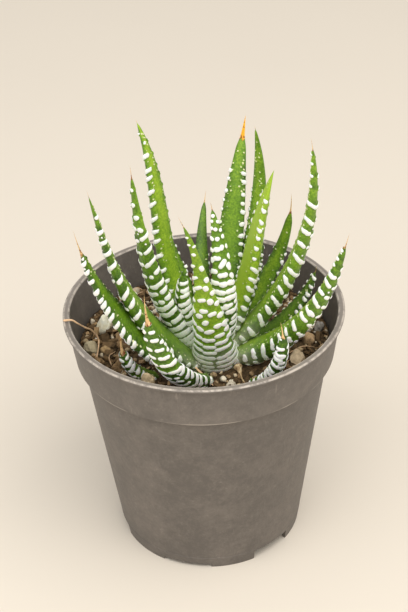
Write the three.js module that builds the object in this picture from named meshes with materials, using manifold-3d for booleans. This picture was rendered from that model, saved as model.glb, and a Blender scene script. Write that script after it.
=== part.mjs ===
// Potted zebra haworthia: a rosette of banded succulent leaves in a round plastic nursery pot.
// Millimetres, +Z up. The origin is the middle of the pot's footprint, on the surface it stands on.
// -Y is the front, where the oldest leaves lean out over the rim.

import * as THREE from 'three';
import { mergeVertices } from 'three/addons/utils/BufferGeometryUtils.js';
import Module from 'manifold-3d';

const wasm = await Module();
wasm.setup();

// Driving dimensions of the pot
const POT_HEIGHT = 80;
const LIP_RADIUS = 42.5;
const LIP_WIDTH = 2.1;
const LIP_DEPTH = 1.1;
const LIP_ROUND = 0.4;
const BAND_TOP_RADIUS = 41.4;
const LEDGE_HEIGHT = 65.4;
const LEDGE_WIDTH = 1.8;
const LEDGE_SLOPE = 0.7;
const BODY_TOP_RADIUS = 37.8;
const BASE_RADIUS = 28.8;
const WALL = 1.1;
const FOOT_HEIGHT = 4;
const FLOOR_THICKNESS = 1.2;
const NOTCH_HEIGHT = 3.7;
const NOTCH_WIDTH = 13.6;
const RECESS_HEIGHT = 1.3;
const RECESS_WIDTH = 15.4;
const FIRST_NOTCH_BEARING = 70.5;
const FIRST_RECESS_BEARING = 13.5;
const NOTCH_COUNT = 3;
const DRAIN_HOLE_RADIUS = 3.2;
const DRAIN_RING_RADIUS = 19;
const DRAIN_HOLE_COUNT = 6;
const DRAIN_HOLE_SIDES = 16;
const POT_SIDES = 48;

// Clearance between pieces that touch
const GAP = 0.3;

// Potting mix: its level, the hollow round the plant's neck and the unevenness of its surface
const MIX_LEVEL = 67.6;
const NECK_HOLLOW_DEPTH = 1.8;
const NECK_HOLLOW_RADIUS = 12;
const MIX_UNEVENNESS = 0.5;
const MIX_RINGS = 9;
const MIX_WALL_CLEARANCE = 0.4;

// Crown: where the leaves grow from, a little off the pot's axis
const CROWN = { x: 3, y: -6 };
const STEM_FOOT_HEIGHT = 50;
const STEM_TOP_HEIGHT = 73;
const STEM_FOOT_RADIUS = 4.5;
const STEM_TOP_RADIUS = 2;
const STEM_FOOT_TAPER = 4;
const STEM_NECK_LENGTH = 10;

// Leaf mesh and section: the inner face is flat and the outer face is full
const LEAF_SIDES = 10;
const LEAF_RINGS = 13;
const INNER_FACE_SHARE = 0.25;
const LEAF_NECK_WIDTH = 0.82;
const LEAF_NECK_LENGTH = 0.15;

// A leaf leaves the stem at a bearing, in degrees from +X towards +Y; out and height place its root.
// It leans by leanRoot degrees from upright at the root and leanTip at the tip, less bow halfway,
// and its heading turns by sway on the way. full is how long it keeps its width: 1 tapers straight
// to the tip, 3 and more narrows late.
function leafRow(bearing, out, height, length, leanRoot, leanTip, sway, bow, width, thick, full) {
  return { bearing, out, height, length, leanRoot, leanTip, sway, bow, width, thick, full };
}

// The leaves, from the heart of the rosette outwards
const LEAVES = [
  leafRow(217, 2, 72, 33, 50, -22, -3, 0, 7, 3.2, 3.4),
  leafRow(26, 3, 70, 37, 42, 3, 0, 0, 5, 2.8, 2.4),
  leafRow(287, 3, 71, 53, 42, -28, 6, 12, 7.5, 4, 3.6),
  leafRow(14, 3, 71, 58, 29, 19, -1, 12, 9.5, 4.4, 3.4),
  leafRow(141, 3, 70, 74, 57, 28, 0, 35, 7.5, 3.4, 3.8),
  leafRow(72, 3, 70, 68, 40, 27, -5, 10, 9, 4, 2.7),
  leafRow(52, 4, 69, 71, 45, -15, -6, 0, 6.5, 3.8, 3.3),
  leafRow(199, 4, 69, 70, 39, 3, -22, 8, 11, 6.4, 2),
  leafRow(352, 4, 69, 78, 45, -10, 19, -2, 8.5, 5, 2.6),
  leafRow(270, 5, 65, 70, 34, 27, -50, 16, 13.5, 5.8, 1.1),
  leafRow(104, 5, 68, 48, 51, 40, -30, 0, 5.5, 3, 2.4),
  leafRow(53, 5, 67, 54, 71, -3, -33, -2, 6, 3.2, 2.6),
  leafRow(219, 5, 67, 76, 58, 12, -48, 13, 12, 5, 2.6),
  leafRow(331, 5, 67, 65, 69, 12, 17, 7, 10.5, 7, 2),
  leafRow(116, 6, 66, 46, 62, 18, 2, 0, 8, 4, 2.2),
  leafRow(76, 6, 66, 44, 64, 22, 0, 0, 7.5, 3.8, 2.2),
  leafRow(158, 6, 66, 32, 56, -8, 0, 0, 7, 3.6, 2.2),
  leafRow(16, 6, 66, 39, 83, 11, 1, 0, 7, 3.6, 3),
  leafRow(220, 6, 65, 71, 59, 10, -41, 3, 11, 4.8, 3.2),
  leafRow(254, 6, 65, 61, 81, -2, -52, 6, 11.5, 5, 1.6),
  leafRow(306, 7, 64, 42, 96, -16, 21, 4, 6.5, 3.4, 3),
  leafRow(211, 8, 65, 40, 108, -18, -8, 2, 6, 3.8, 3.4),
];

// Loose stones on the potting mix: place, and size across, along and high
const PEBBLES = [
  { x: -31.1, y: 7.2, wide: 4.6, deep: 4, high: 6, turn: 20, colour: 0xe6ddca },
  { x: -34.6, y: -3.6, wide: 4.2, deep: 4.4, high: 5, turn: 70, colour: 0xb8ab97 },
  { x: -30.2, y: -4.6, wide: 3, deep: 2.6, high: 2.8, turn: 130, colour: 0xb4966a },
  { x: -17, y: -23.4, wide: 3.8, deep: 3.4, high: 4.8, turn: 10, colour: 0xc9b18a },
  { x: 7.1, y: -23.6, wide: 3, deep: 2.4, high: 2.2, turn: 40, colour: 0xd8cdb8 },
  { x: 27.4, y: -13.4, wide: 4.8, deep: 4.2, high: 4.4, turn: 85, colour: 0xc9b392 },
  { x: 31.6, y: -2.1, wide: 3.4, deep: 3.6, high: 4, turn: 35, colour: 0xb99a72 },
  { x: 35.2, y: 3.4, wide: 2.8, deep: 3, high: 3.4, turn: 150, colour: 0x9b958c },
];
const PEBBLE_SINK = 0.35;

// Dried rootlet: it hangs over the rim at the left and ends on the potting mix
const ROOTLET_RADIUS = 0.35;
const ROOTLET_POINTS = [
  [-42, -6.4, 80.8], [-39.4, -6.6, 81], [-37.6, -6.4, 79.5], [-35.6, -5.1, 77], [-34.4, -3.8, 75.5],
  [-33.4, -3.3, 74], [-32.5, -3.2, 72.4], [-32.1, -4, 70.8], [-32.4, -7.1, 69.3], [-32.8, -9.8, 68.8],
];

// Shrivelled stub of a shed leaf, lying on the mix in front of the crown: its route seen from above
const STUB_RADIUS = 0.6;
const STUB_ROUTE = [[9.4, -15.4], [10.1, -18.4], [10.6, -21.4], [11.7, -25.6]];

const radians = THREE.MathUtils.degToRad;

function material(colour, roughness) {
  return new THREE.MeshStandardMaterial({ color: colour, roughness, metalness: 0 });
}

const POT_PLASTIC = material(0x787068, 0.55);
const MIX_EARTH = material(0x3b2a20, 0.95);
const LEAF_GREEN = material(0x5c8a35, 0.5);
const STEM_CREAM = material(0xb9b486, 0.7);
const ROOTLET_TAN = material(0xc79a63, 0.8);
const STUB_BROWN = material(0x6f5238, 0.85);

function toSolid(geometry) {
  const bare = geometry.clone();
  bare.deleteAttribute('normal');
  bare.deleteAttribute('uv');
  const merged = mergeVertices(bare, 1e-4);
  return new wasm.Manifold(new wasm.Mesh({
    numProp: 3,
    vertProperties: new Float32Array(merged.attributes.position.array),
    triVerts: new Uint32Array(merged.index.array),
  }));
}

function toGeometry(solid) {
  const mesh = solid.getMesh();
  const geometry = new THREE.BufferGeometry();
  geometry.setAttribute('position', new THREE.BufferAttribute(new Float32Array(mesh.vertProperties), 3));
  geometry.setIndex(new THREE.BufferAttribute(new Uint32Array(mesh.triVerts), 1));
  return geometry;
}

// The piece of a cut shape that holds most of its triangles; crumbs that a cut leaves are dropped
function largestPiece(geometry) {
  const index = geometry.index.array;
  const parent = Array.from({ length: geometry.attributes.position.count }, (_, i) => i);
  const find = (i) => {
    while (parent[i] !== i) {
      parent[i] = parent[parent[i]];
      i = parent[i];
    }
    return i;
  };
  for (let t = 0; t < index.length; t += 3) {
    parent[find(index[t + 1])] = find(index[t]);
    parent[find(index[t + 2])] = find(index[t]);
  }
  const pieces = new Map();
  for (let t = 0; t < index.length; t += 3) {
    const root = find(index[t]);
    if (!pieces.has(root)) pieces.set(root, []);
    pieces.get(root).push(index[t], index[t + 1], index[t + 2]);
  }
  const largest = [...pieces.values()].reduce((a, b) => (b.length > a.length ? b : a));
  const kept = geometry.clone();
  kept.setIndex(largest);
  return kept;
}

function mesh(name, geometry, finish) {
  const part = new THREE.Mesh(geometry, finish);
  part.name = name;
  return part;
}

// Pot

function outerRadius(z) {
  return BASE_RADIUS + (BODY_TOP_RADIUS - BASE_RADIUS) * z / LEDGE_HEIGHT;
}

function potProfile() {
  const floorTop = FOOT_HEIGHT + FLOOR_THICKNESS;
  const lipInside = LIP_RADIUS - LIP_WIDTH;
  const lipUnder = POT_HEIGHT - LIP_DEPTH;
  return [
    [0, FOOT_HEIGHT],
    [outerRadius(FOOT_HEIGHT) - WALL, FOOT_HEIGHT],
    [BASE_RADIUS - WALL, 0],
    [BASE_RADIUS, 0],
    [outerRadius(FOOT_HEIGHT), FOOT_HEIGHT],
    [BODY_TOP_RADIUS, LEDGE_HEIGHT],
    [BODY_TOP_RADIUS + LEDGE_WIDTH, LEDGE_HEIGHT + 0.2],
    [BAND_TOP_RADIUS, lipUnder],
    [LIP_RADIUS, lipUnder + LIP_ROUND / 2],
    [LIP_RADIUS, POT_HEIGHT - LIP_ROUND],
    [LIP_RADIUS - LIP_ROUND, POT_HEIGHT],
    [lipInside + LIP_ROUND, POT_HEIGHT],
    [lipInside, POT_HEIGHT - LIP_ROUND],
    [BAND_TOP_RADIUS - WALL, lipUnder],
    [BODY_TOP_RADIUS + LEDGE_WIDTH - WALL, LEDGE_HEIGHT + LEDGE_SLOPE],
    [BODY_TOP_RADIUS - WALL, LEDGE_HEIGHT - LEDGE_SLOPE],
    [outerRadius(floorTop) - WALL, floorTop],
    [0, floorTop],
  ].map(([r, z]) => new THREE.Vector2(r, z));
}

// Boxes round the foot ring, twice as high as the cuts they make
function ringOfBoxes(count, firstBearing, width, height) {
  const depth = 12;
  const boxes = [];
  for (let k = 0; k < count; k += 1) {
    const box = new THREE.BoxGeometry(depth, width, 2 * height);
    box.translate(BASE_RADIUS - 1, 0, 0);
    box.rotateZ(radians(firstBearing + 360 * k / count));
    boxes.push(box);
  }
  return boxes;
}

function drainHoles() {
  const holes = [];
  for (let k = 0; k < DRAIN_HOLE_COUNT; k += 1) {
    const length = 4 * FLOOR_THICKNESS;
    const hole = new THREE.CylinderGeometry(DRAIN_HOLE_RADIUS, DRAIN_HOLE_RADIUS, length, DRAIN_HOLE_SIDES);
    hole.rotateX(Math.PI / 2);
    hole.translate(DRAIN_RING_RADIUS, 0, FOOT_HEIGHT);
    hole.rotateZ(2 * Math.PI * k / DRAIN_HOLE_COUNT);
    holes.push(hole);
  }
  return holes;
}

function potGeometry() {
  const shell = new THREE.LatheGeometry(potProfile(), POT_SIDES);
  shell.rotateX(Math.PI / 2);
  let pot = toSolid(shell);
  const cuts = [
    ...ringOfBoxes(NOTCH_COUNT, FIRST_NOTCH_BEARING, NOTCH_WIDTH, NOTCH_HEIGHT),
    ...ringOfBoxes(NOTCH_COUNT, FIRST_RECESS_BEARING, RECESS_WIDTH, RECESS_HEIGHT),
    ...drainHoles(),
  ];
  for (const cut of cuts) pot = pot.subtract(toSolid(cut));
  return toGeometry(pot);
}

// Stem

function stemGeometry(grow) {
  const profile = [
    new THREE.Vector2(0, STEM_FOOT_HEIGHT - grow),
    new THREE.Vector2(STEM_FOOT_RADIUS * 0.6 + grow, STEM_FOOT_HEIGHT - grow),
    new THREE.Vector2(STEM_FOOT_RADIUS + grow, STEM_FOOT_HEIGHT + STEM_FOOT_TAPER),
    new THREE.Vector2(STEM_FOOT_RADIUS - 0.4 + grow, STEM_TOP_HEIGHT - STEM_NECK_LENGTH),
    new THREE.Vector2(STEM_TOP_RADIUS + 0.8 + grow, STEM_TOP_HEIGHT - 3),
    new THREE.Vector2(STEM_TOP_RADIUS * 0.6 + grow, STEM_TOP_HEIGHT - 0.4),
    new THREE.Vector2(0, STEM_TOP_HEIGHT + grow),
  ];
  const stem = new THREE.LatheGeometry(profile, 16);
  stem.rotateX(Math.PI / 2);
  stem.translate(CROWN.x, CROWN.y, 0);
  return stem;
}

// Leaves

// The middle line of a leaf, as points with the directions along, inwards and sideways
function leafLine(leaf, steps) {
  const bearing = radians(leaf.bearing);
  const point = new THREE.Vector3(
    CROWN.x + leaf.out * Math.cos(bearing),
    CROWN.y + leaf.out * Math.sin(bearing),
    leaf.height,
  );
  const stations = [];
  let last = null;
  for (let k = 0; k <= steps; k += 1) {
    const s = k / steps;
    const lean = radians(THREE.MathUtils.lerp(leaf.leanRoot, leaf.leanTip, s) - 4 * leaf.bow * s * (1 - s));
    const heading = bearing + radians(leaf.sway) * s;
    const along = new THREE.Vector3(
      Math.sin(lean) * Math.cos(heading),
      Math.sin(lean) * Math.sin(heading),
      Math.cos(lean),
    );
    if (last) point.addScaledVector(last.clone().add(along), 0.5 * leaf.length / steps);
    last = along;
    const inwards = new THREE.Vector3(
      -Math.cos(lean) * Math.cos(bearing),
      -Math.cos(lean) * Math.sin(bearing),
      Math.sin(lean),
    );
    inwards.addScaledVector(along, -inwards.dot(along)).normalize();
    const sideways = new THREE.Vector3().crossVectors(along, inwards);
    stations.push({ s, point: point.clone(), along, inwards, sideways });
  }
  return stations;
}

// How wide the leaf is at s, from 0 at the root to 1 at the tip, as a share of its full width
function leafOutline(leaf, s) {
  const neck = LEAF_NECK_WIDTH + (1 - LEAF_NECK_WIDTH) * Math.min(1, s / LEAF_NECK_LENGTH);
  return (1 - s ** leaf.full) * neck;
}

function leafGeometry(leaf, grow) {
  const stations = leafLine(leaf, LEAF_RINGS);
  const leafShape = new THREE.SphereGeometry(1, LEAF_SIDES, LEAF_RINGS);
  const position = leafShape.attributes.position;
  const vertex = new THREE.Vector3();
  for (let i = 0; i < position.count; i += 1) {
    vertex.fromBufferAttribute(position, i);
    const polar = Math.acos(THREE.MathUtils.clamp(vertex.y, -1, 1));
    const k = LEAF_RINGS - Math.round(LEAF_RINGS * polar / Math.PI);
    const { s, point, along, inwards, sideways } = stations[k];
    const share = leafOutline(leaf, s);
    const edgeOffset = (0.5 - INNER_FACE_SHARE) * leaf.thick * share;
    if (k === 0 || k === LEAF_RINGS) {
      vertex.copy(point).addScaledVector(along, k === 0 ? -grow : grow).addScaledVector(inwards, edgeOffset);
    } else {
      const ring = Math.hypot(vertex.x, vertex.z);
      const across = vertex.x / ring;
      const through = vertex.z / ring;
      const face = through > 0 ? INNER_FACE_SHARE : 1 - INNER_FACE_SHARE;
      const halfWidth = leaf.width / 2 * share + grow;
      const depth = leaf.thick * share * face + grow;
      vertex.copy(point);
      vertex.addScaledVector(sideways, across * halfWidth);
      vertex.addScaledVector(inwards, edgeOffset + through * depth);
    }
    position.setXYZ(i, vertex.x, vertex.y, vertex.z);
  }
  return leafShape;
}

// Each leaf is cut back from the stem and from the leaves inside it, so its root wraps round them
function growLeaves(stem) {
  const leaves = [];
  let taken = stem;
  for (const leaf of LEAVES) {
    const cut = toSolid(leafGeometry(leaf, 0)).subtract(taken);
    leaves.push(largestPiece(toGeometry(cut)));
    taken = taken.add(toSolid(leafGeometry(leaf, GAP)));
  }
  return { leaves, taken };
}

// Loose things on the potting mix

// Height of the mix's surface: a hollow round the crown and a gentle unevenness
function mixHeight(x, y) {
  const fromCrown = Math.hypot(x - CROWN.x, y - CROWN.y) / NECK_HOLLOW_RADIUS;
  const hollow = NECK_HOLLOW_DEPTH * Math.exp(-fromCrown * fromCrown);
  const uneven = Math.sin(0.31 * x + 1.3) * Math.cos(0.27 * y) + 0.6 * Math.sin(0.5 * y - 0.4 * x);
  return MIX_LEVEL - hollow + MIX_UNEVENNESS * uneven;
}

function pebbleGeometry(pebble, number, grow) {
  const stone = new THREE.IcosahedronGeometry(1, 1);
  const position = stone.attributes.position;
  for (let i = 0; i < position.count; i += 1) {
    const [x, y, z] = [position.getX(i), position.getY(i), position.getZ(i)];
    const lump = 1 + 0.1 * Math.sin(3 * x + 5 * y + number) + 0.08 * Math.cos(6 * z - 2 * x + 2 * number);
    position.setXYZ(
      i,
      x * lump * (pebble.wide / 2 + grow),
      y * lump * (pebble.deep / 2 + grow),
      z * lump * (pebble.high / 2 + grow),
    );
  }
  stone.rotateZ(radians(pebble.turn));
  const lift = pebble.high * (0.5 - PEBBLE_SINK);
  stone.translate(pebble.x, pebble.y, mixHeight(pebble.x, pebble.y) + lift);
  return stone;
}

function tubeGeometry(points, radius, sides, steps) {
  const section = new THREE.Shape();
  section.absarc(0, 0, radius, 0, 2 * Math.PI);
  const path = new THREE.CatmullRomCurve3(points.map((p) => new THREE.Vector3(...p)));
  return new THREE.ExtrudeGeometry(section, {
    steps,
    curveSegments: sides / 2,
    bevelEnabled: false,
    extrudePath: path,
  });
}

function stubPoints() {
  return STUB_ROUTE.map(([x, y]) => [x, y, mixHeight(x, y) + STUB_RADIUS + 2 * GAP]);
}

// Potting mix

function mixGeometry() {
  const floorTop = FOOT_HEIGHT + FLOOR_THICKNESS;
  const inside = WALL + MIX_WALL_CLEARANCE;
  const wallTop = BODY_TOP_RADIUS + LEDGE_WIDTH - inside;
  const profile = [
    [0, floorTop + GAP],
    [outerRadius(floorTop) - inside, floorTop + GAP],
    [BODY_TOP_RADIUS - inside, LEDGE_HEIGHT - LEDGE_SLOPE + GAP],
    [wallTop, LEDGE_HEIGHT + LEDGE_SLOPE + GAP],
  ];
  for (let k = 0; k <= MIX_RINGS; k += 1) profile.push([wallTop * (1 - k / MIX_RINGS), MIX_LEVEL]);
  const mix = new THREE.LatheGeometry(profile.map(([r, z]) => new THREE.Vector2(r, z)), POT_SIDES);
  mix.rotateX(Math.PI / 2);
  const position = mix.attributes.position;
  for (let i = 0; i < position.count; i += 1) {
    if (position.getZ(i) < MIX_LEVEL - 0.01) continue;
    position.setZ(i, mixHeight(position.getX(i), position.getY(i)));
  }
  return mix;
}

// Assembly

const model = new THREE.Group();
const stemRoom = toSolid(stemGeometry(GAP));
const { leaves, taken } = growLeaves(stemRoom);

let mix = toSolid(mixGeometry()).subtract(taken);
PEBBLES.forEach((pebble, k) => {
  mix = mix.subtract(toSolid(pebbleGeometry(pebble, k, GAP)));
});
const rootlet = tubeGeometry(ROOTLET_POINTS, ROOTLET_RADIUS, 8, 20);
const stub = toSolid(tubeGeometry(stubPoints(), STUB_RADIUS, 8, 6)).subtract(taken);

model.add(mesh('pot', potGeometry(), POT_PLASTIC));
model.add(mesh('potting_mix', largestPiece(toGeometry(mix)), MIX_EARTH));
model.add(mesh('stem', stemGeometry(0), STEM_CREAM));
leaves.forEach((leaf, k) => {
  model.add(mesh(`leaf_${String(k + 1).padStart(2, '0')}`, leaf, LEAF_GREEN));
});
PEBBLES.forEach((pebble, k) => {
  model.add(mesh(`pebble_${k + 1}`, pebbleGeometry(pebble, k, 0), material(pebble.colour, 0.9)));
});
model.add(mesh('rootlet', rootlet, ROOTLET_TAN));
model.add(mesh('leaf_stub', largestPiece(toGeometry(stub)), STUB_BROWN));

export default model;
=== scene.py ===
"""Potted zebra haworthia: every piece in its finished form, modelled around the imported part.

Metres, +Z up, in the part's own frame: the middle of the pot's foot is the origin and -Y is the front.
Sizes that the part also has are written in millimetres, as a grower would measure them.
"""

import math
from dataclasses import dataclass

import bpy
import bmesh
import numpy as np
from mathutils import Euler, Matrix, Vector, noise


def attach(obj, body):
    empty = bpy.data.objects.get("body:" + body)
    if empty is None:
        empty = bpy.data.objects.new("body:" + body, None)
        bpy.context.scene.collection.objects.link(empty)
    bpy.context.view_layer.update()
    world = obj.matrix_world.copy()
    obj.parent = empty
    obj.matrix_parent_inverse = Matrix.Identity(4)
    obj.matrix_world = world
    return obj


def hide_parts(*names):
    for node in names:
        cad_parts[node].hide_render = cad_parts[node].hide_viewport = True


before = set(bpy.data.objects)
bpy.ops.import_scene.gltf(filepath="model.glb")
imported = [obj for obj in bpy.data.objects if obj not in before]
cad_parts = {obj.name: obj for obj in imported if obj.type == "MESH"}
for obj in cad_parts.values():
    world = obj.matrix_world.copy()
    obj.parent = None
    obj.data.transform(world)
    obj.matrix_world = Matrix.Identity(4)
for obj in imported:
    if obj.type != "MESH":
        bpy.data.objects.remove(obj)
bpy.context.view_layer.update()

bl_info = {
    "name": "Potted zebra haworthia",
    "version": (1, 0, 0),
    "blender": (4, 5, 0),
    "location": "3D View > Sidebar > Haworthia",
    "description": "Models a banded succulent in its nursery pot, with its potting mix and loose stones",
    "category": "Object",
}

MM = 0.001

# Potting mix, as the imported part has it, in millimetres
MIX_LEVEL = 67.6
NECK_HOLLOW_DEPTH = 1.8
NECK_HOLLOW_RADIUS = 12
MIX_UNEVENNESS = 0.5
CROWN = (3, -6)

# How a leaf's section divides about its edges, and how its root is rounded off
INNER_FACE_SHARE = 0.25
LEAF_ROOT_ROUNDING = 1.6

# In millimetres: the closest spacing of the rows of tubercles, near a leaf's root, the soft edge of each
# tubercle, the half width under which a leaf's back has beads and no strokes, how far from the root its
# specks start and how far apart they lie
CLOSE_PITCH = 2.3
TUBERCLE_EDGE = 0.5
BEADED_HALF_WIDTH = 1.9
SPECK_START = 3.0
SPECK_STEP = 0.8

# Sides of the turned pieces
POT_SIDES = 192
MIX_SIDES = 176
STEM_SIDES = 48

# In metres: the slopes at the corners of the lip and at the rim band's foot, and the rounding of edges
LIP_CORNER = 0.4 * MM
BAND_CORNER = 0.2 * MM
EDGE_ROUNDING = 0.16 * MM

# Notches in the pot's foot: how many, bearing of the first, width and height, and how deep all are cut,
# in millimetres
FOOT_NOTCHES = ((3, 70.5, 13.6, 3.7), (3, 13.5, 15.4, 1.3))
NOTCH_REACH = 12

# Drainage holes in the pot's floor: how many, their radius and that of their circle, in millimetres
DRAIN_COUNT = 6
DRAIN_RADIUS = 3.2
DRAIN_CIRCLE = 19

# The rootstock, in millimetres: radius and height of each ring, and the height of its top
STEM_RINGS = (
    (2.7, 50), (3.6, 51), (4.4, 53), (4.6, 56), (4.2, 60), (4.1, 64), (3.6, 67), (2.8, 70), (1.4, 72.4),
)
STEM_TOP = 73

# Gaps between the mix and the pot's wall and floor, in metres, and the rings of the mix's top
MIX_WALL_GAP = 0.4 * MM
MIX_FLOOR_GAP = 0.3 * MM
MIX_RINGS = 64

# Heights between which the earth stains a stone and browns the rootstock, in metres
STONE_STAIN = (0.0668, 0.0695)
STEM_STAIN = (0.062, 0.069)

# Where the random numbers of each kind of piece start
LEAF_SEED = 100
MIX_SEED = 11
CHIP_SEED = 0
CRUMB_SEED = 20
GRIT_SEED = 40
STONE_SEED = 60

# How close two measures have to be to count as the same, in metres
SAME_HEIGHT = 1e-6
SAME_RADIUS = 2e-5


@dataclass
class Leaf:
    """A leaf by its line and section, in millimetres and degrees, and what grows on it.

    pitch is the spacing of the rows of tubercles on its upper part, dense how far up its closely
    set rows reach and rows the heights of single rows that are known. marks are single tubercles:
    height, place across, length and how much higher the right end is. beads is the share of the
    leaf, from the tip down, whose rows are beads and not strokes. wrap is how far the rows run on
    over its two edges and specks how many cream specks its inner face has. slim is how much its
    upper part narrows, neck how wide its root is, over what share of its length, and roll its turn
    about its own line. dry is the length of its withered tip and amber how orange that is. The last
    number is how yellow and how bright the leaf's green is: partly its own tint, partly painted
    light and painted shade that stand in for how brightly the leaf is lit.
    """

    bearing: float
    out: float
    height: float
    length: float
    lean_root: float
    lean_tip: float
    sway: float
    bow: float
    width: float
    thick: float
    full: float
    pitch: float = 3
    dense: float = 0.35
    rows: tuple = ()
    marks: tuple = ()
    beads: float = 0
    wrap: tuple = (0.3, 0.3)
    specks: float = 0.4
    slim: float = 0
    neck: tuple = (0.82, 0.15)
    roll: float = 0
    dry: float = 2
    amber: float = 0
    glow: float = 0.4


# Heights of the rows of tubercles on the leaves that face the camera, in millimetres
ROWS_03 = (22.4, 20.2)
ROWS_05 = (69.6, 65.7, 62, 58, 54.8, 51, 46.4, 42, 37.8, 34, 29.5, 25, 20.8, 17.6, 14.4, 10.8, 8, 5.5)
ROWS_08 = (46.3, 42.2, 38, 34.2, 30.8, 28, 25.4, 23, 20.7)
ROWS_09 = (72, 69, 65.5, 61.5, 56.5, 51.5, 47, 43, 38, 33.5, 29.5, 26, 22.5, 19)
ROWS_13 = (66.5, 62.7, 58.9, 55.3, 50.7, 46, 41.2, 37, 33, 29.5, 26)
ROWS_14 = (58.6, 55.8, 52.8, 49.8, 46.5, 43, 39.4, 35.5, 31.8, 28, 24.5, 21, 17.5, 13.8)
ROWS_19 = (60, 57, 54, 50, 47.5, 45, 43, 40, 37)
ROWS_20 = (28.2, 25.6, 23)

# Single tubercles on the four front leaves, in millimetres: height, place across, length, rise
MARKS_03 = (
    (49, 0.3, 0, 0), (47.6, 0.9, 0, 0), (47.2, -0.6, 0, 0), (45.2, 0.4, 0, 0), (45.7, 1.4, 0, 0),
    (44.6, -1, 0, 0), (42.5, 0.4, 0.1, 0), (42.7, 2, 0.3, 0.2), (42.8, -1.4, 0.1, 0),
    (39.8, -0.3, 0.2, -0.4), (39.5, 1, 0.5, 0), (39.5, 2.7, 0.5, 0.3), (39.9, -2.1, 0.1, 0.3),
    (37, 1.4, 0.9, 0.2), (36.5, 3.1, 0.4, -0.4), (36.8, -2.3, 0.3, 0.3), (35.2, 0.2, 1.2, -1.3),
    (34.1, -1.7, 0.3, 0.8), (33.2, 3.3, 1.7, -0.2), (32, 0.5, 1.5, 0), (31.2, -2.4, 0.8, 0.5),
    (29.8, 3.2, 1.8, 0.2), (29.2, 0.7, 0.9, 0), (29.2, -1.9, 1.5, 0.4), (27, 2.5, 3.2, 0.4),
    (26.9, -1.9, 3, 0.1), (24.7, 2.6, 3, 0.3), (24.9, -1.6, 3.2, 0),
)
MARKS_08 = (
    (62.2, -0.6, 0, 0), (61.3, 0.7, 0, 0), (57.7, -0.8, 0.2, 0), (57, 1, 0.2, 0), (53.8, -1.6, 0.3, 0),
    (52.6, 0.8, 0.2, 0), (50.2, 0.2, 1.9, 0), (50.1, -2.5, 0.3, 0.3), (51, 3, 0.3, 0.3),
)
MARKS_10 = (
    (61.2, 0.2, 0, 0), (58.4, 0.4, 0, 0), (57.4, -0.6, 0, 0), (54.5, 0.1, 0.1, 0.3),
    (49.8, 1.3, 0.6, -0.6), (48.8, -0.9, 0.2, 0.9), (45.1, 1.8, 1.5, -1), (44, -1.5, 0.2, 0.9),
    (41.6, 1.3, 1.2, -0.7), (41.2, -0.8, 0.2, 0.8), (40.2, 3.2, 0.7, 0), (38.6, -2.4, 0.3, 0.5),
    (36, -1.3, 0.2, 0.6), (36.8, 1, 1, -0.3), (36, 3.9, 1, -0.3), (34.2, -3.2, 0.4, 0.6),
    (32.6, 0.8, 0.7, 0), (31.1, -1.3, 1, -0.3), (30.4, 2.5, 0.4, -0.4), (32, 4.6, 0.6, 0.6),
    (29.4, -3.7, 0.5, 0.5), (28, 1, 0.4, -0.7), (25.9, -2.3, 0.9, 0), (25.3, -4.7, 0.7, 0.6),
    (24.1, 0.3, 1.6, -0.5), (25.2, 2.9, 0.5, 0.5), (26.8, 4.9, 0.8, 0.8), (21.7, -2.4, 1.7, 0),
    (22.6, -5.2, 1, 0.6), (20.4, 0.9, 2.2, 0), (21.4, 3.8, 1, 0.5), (23.2, 5.6, 0.8, 0.6),
    (18.4, -2.8, 2.8, 0), (19.4, -5.8, 1.4, 0.4), (17.1, 1, 2.4, 0), (18.3, 4.4, 2, 0.7),
    (15.6, -3.2, 4, 0.1), (14.2, 1.2, 2.6, -0.1), (15.3, 4.7, 2.2, 0.6),
)
MARKS_20 = (
    (51, -0.6, 0, 0), (48.4, -0.8, 0.7, 0), (48.3, 1.4, 0.2, -0.1), (45.5, -0.9, 1.1, 0),
    (45.6, 1.7, 0.8, -0.3), (44, -2.9, 0.6, 0.4), (41.7, -1.4, 1.4, 0.1), (42, 1.6, 0.7, 0),
    (40.2, -4.1, 0.6, 0.4), (38.4, -1.7, 2, 0.1), (38.8, 1.8, 1.3, 0.1), (37, -4.9, 0.8, 0.3),
    (35.1, -1.8, 4, 0), (35.3, 2.7, 1.6, 0.4), (31.4, -2.4, 3, 0), (31.6, 1.6, 1.8, 0.1),
    (32.2, 4.3, 0.8, 0.5),
)

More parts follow.
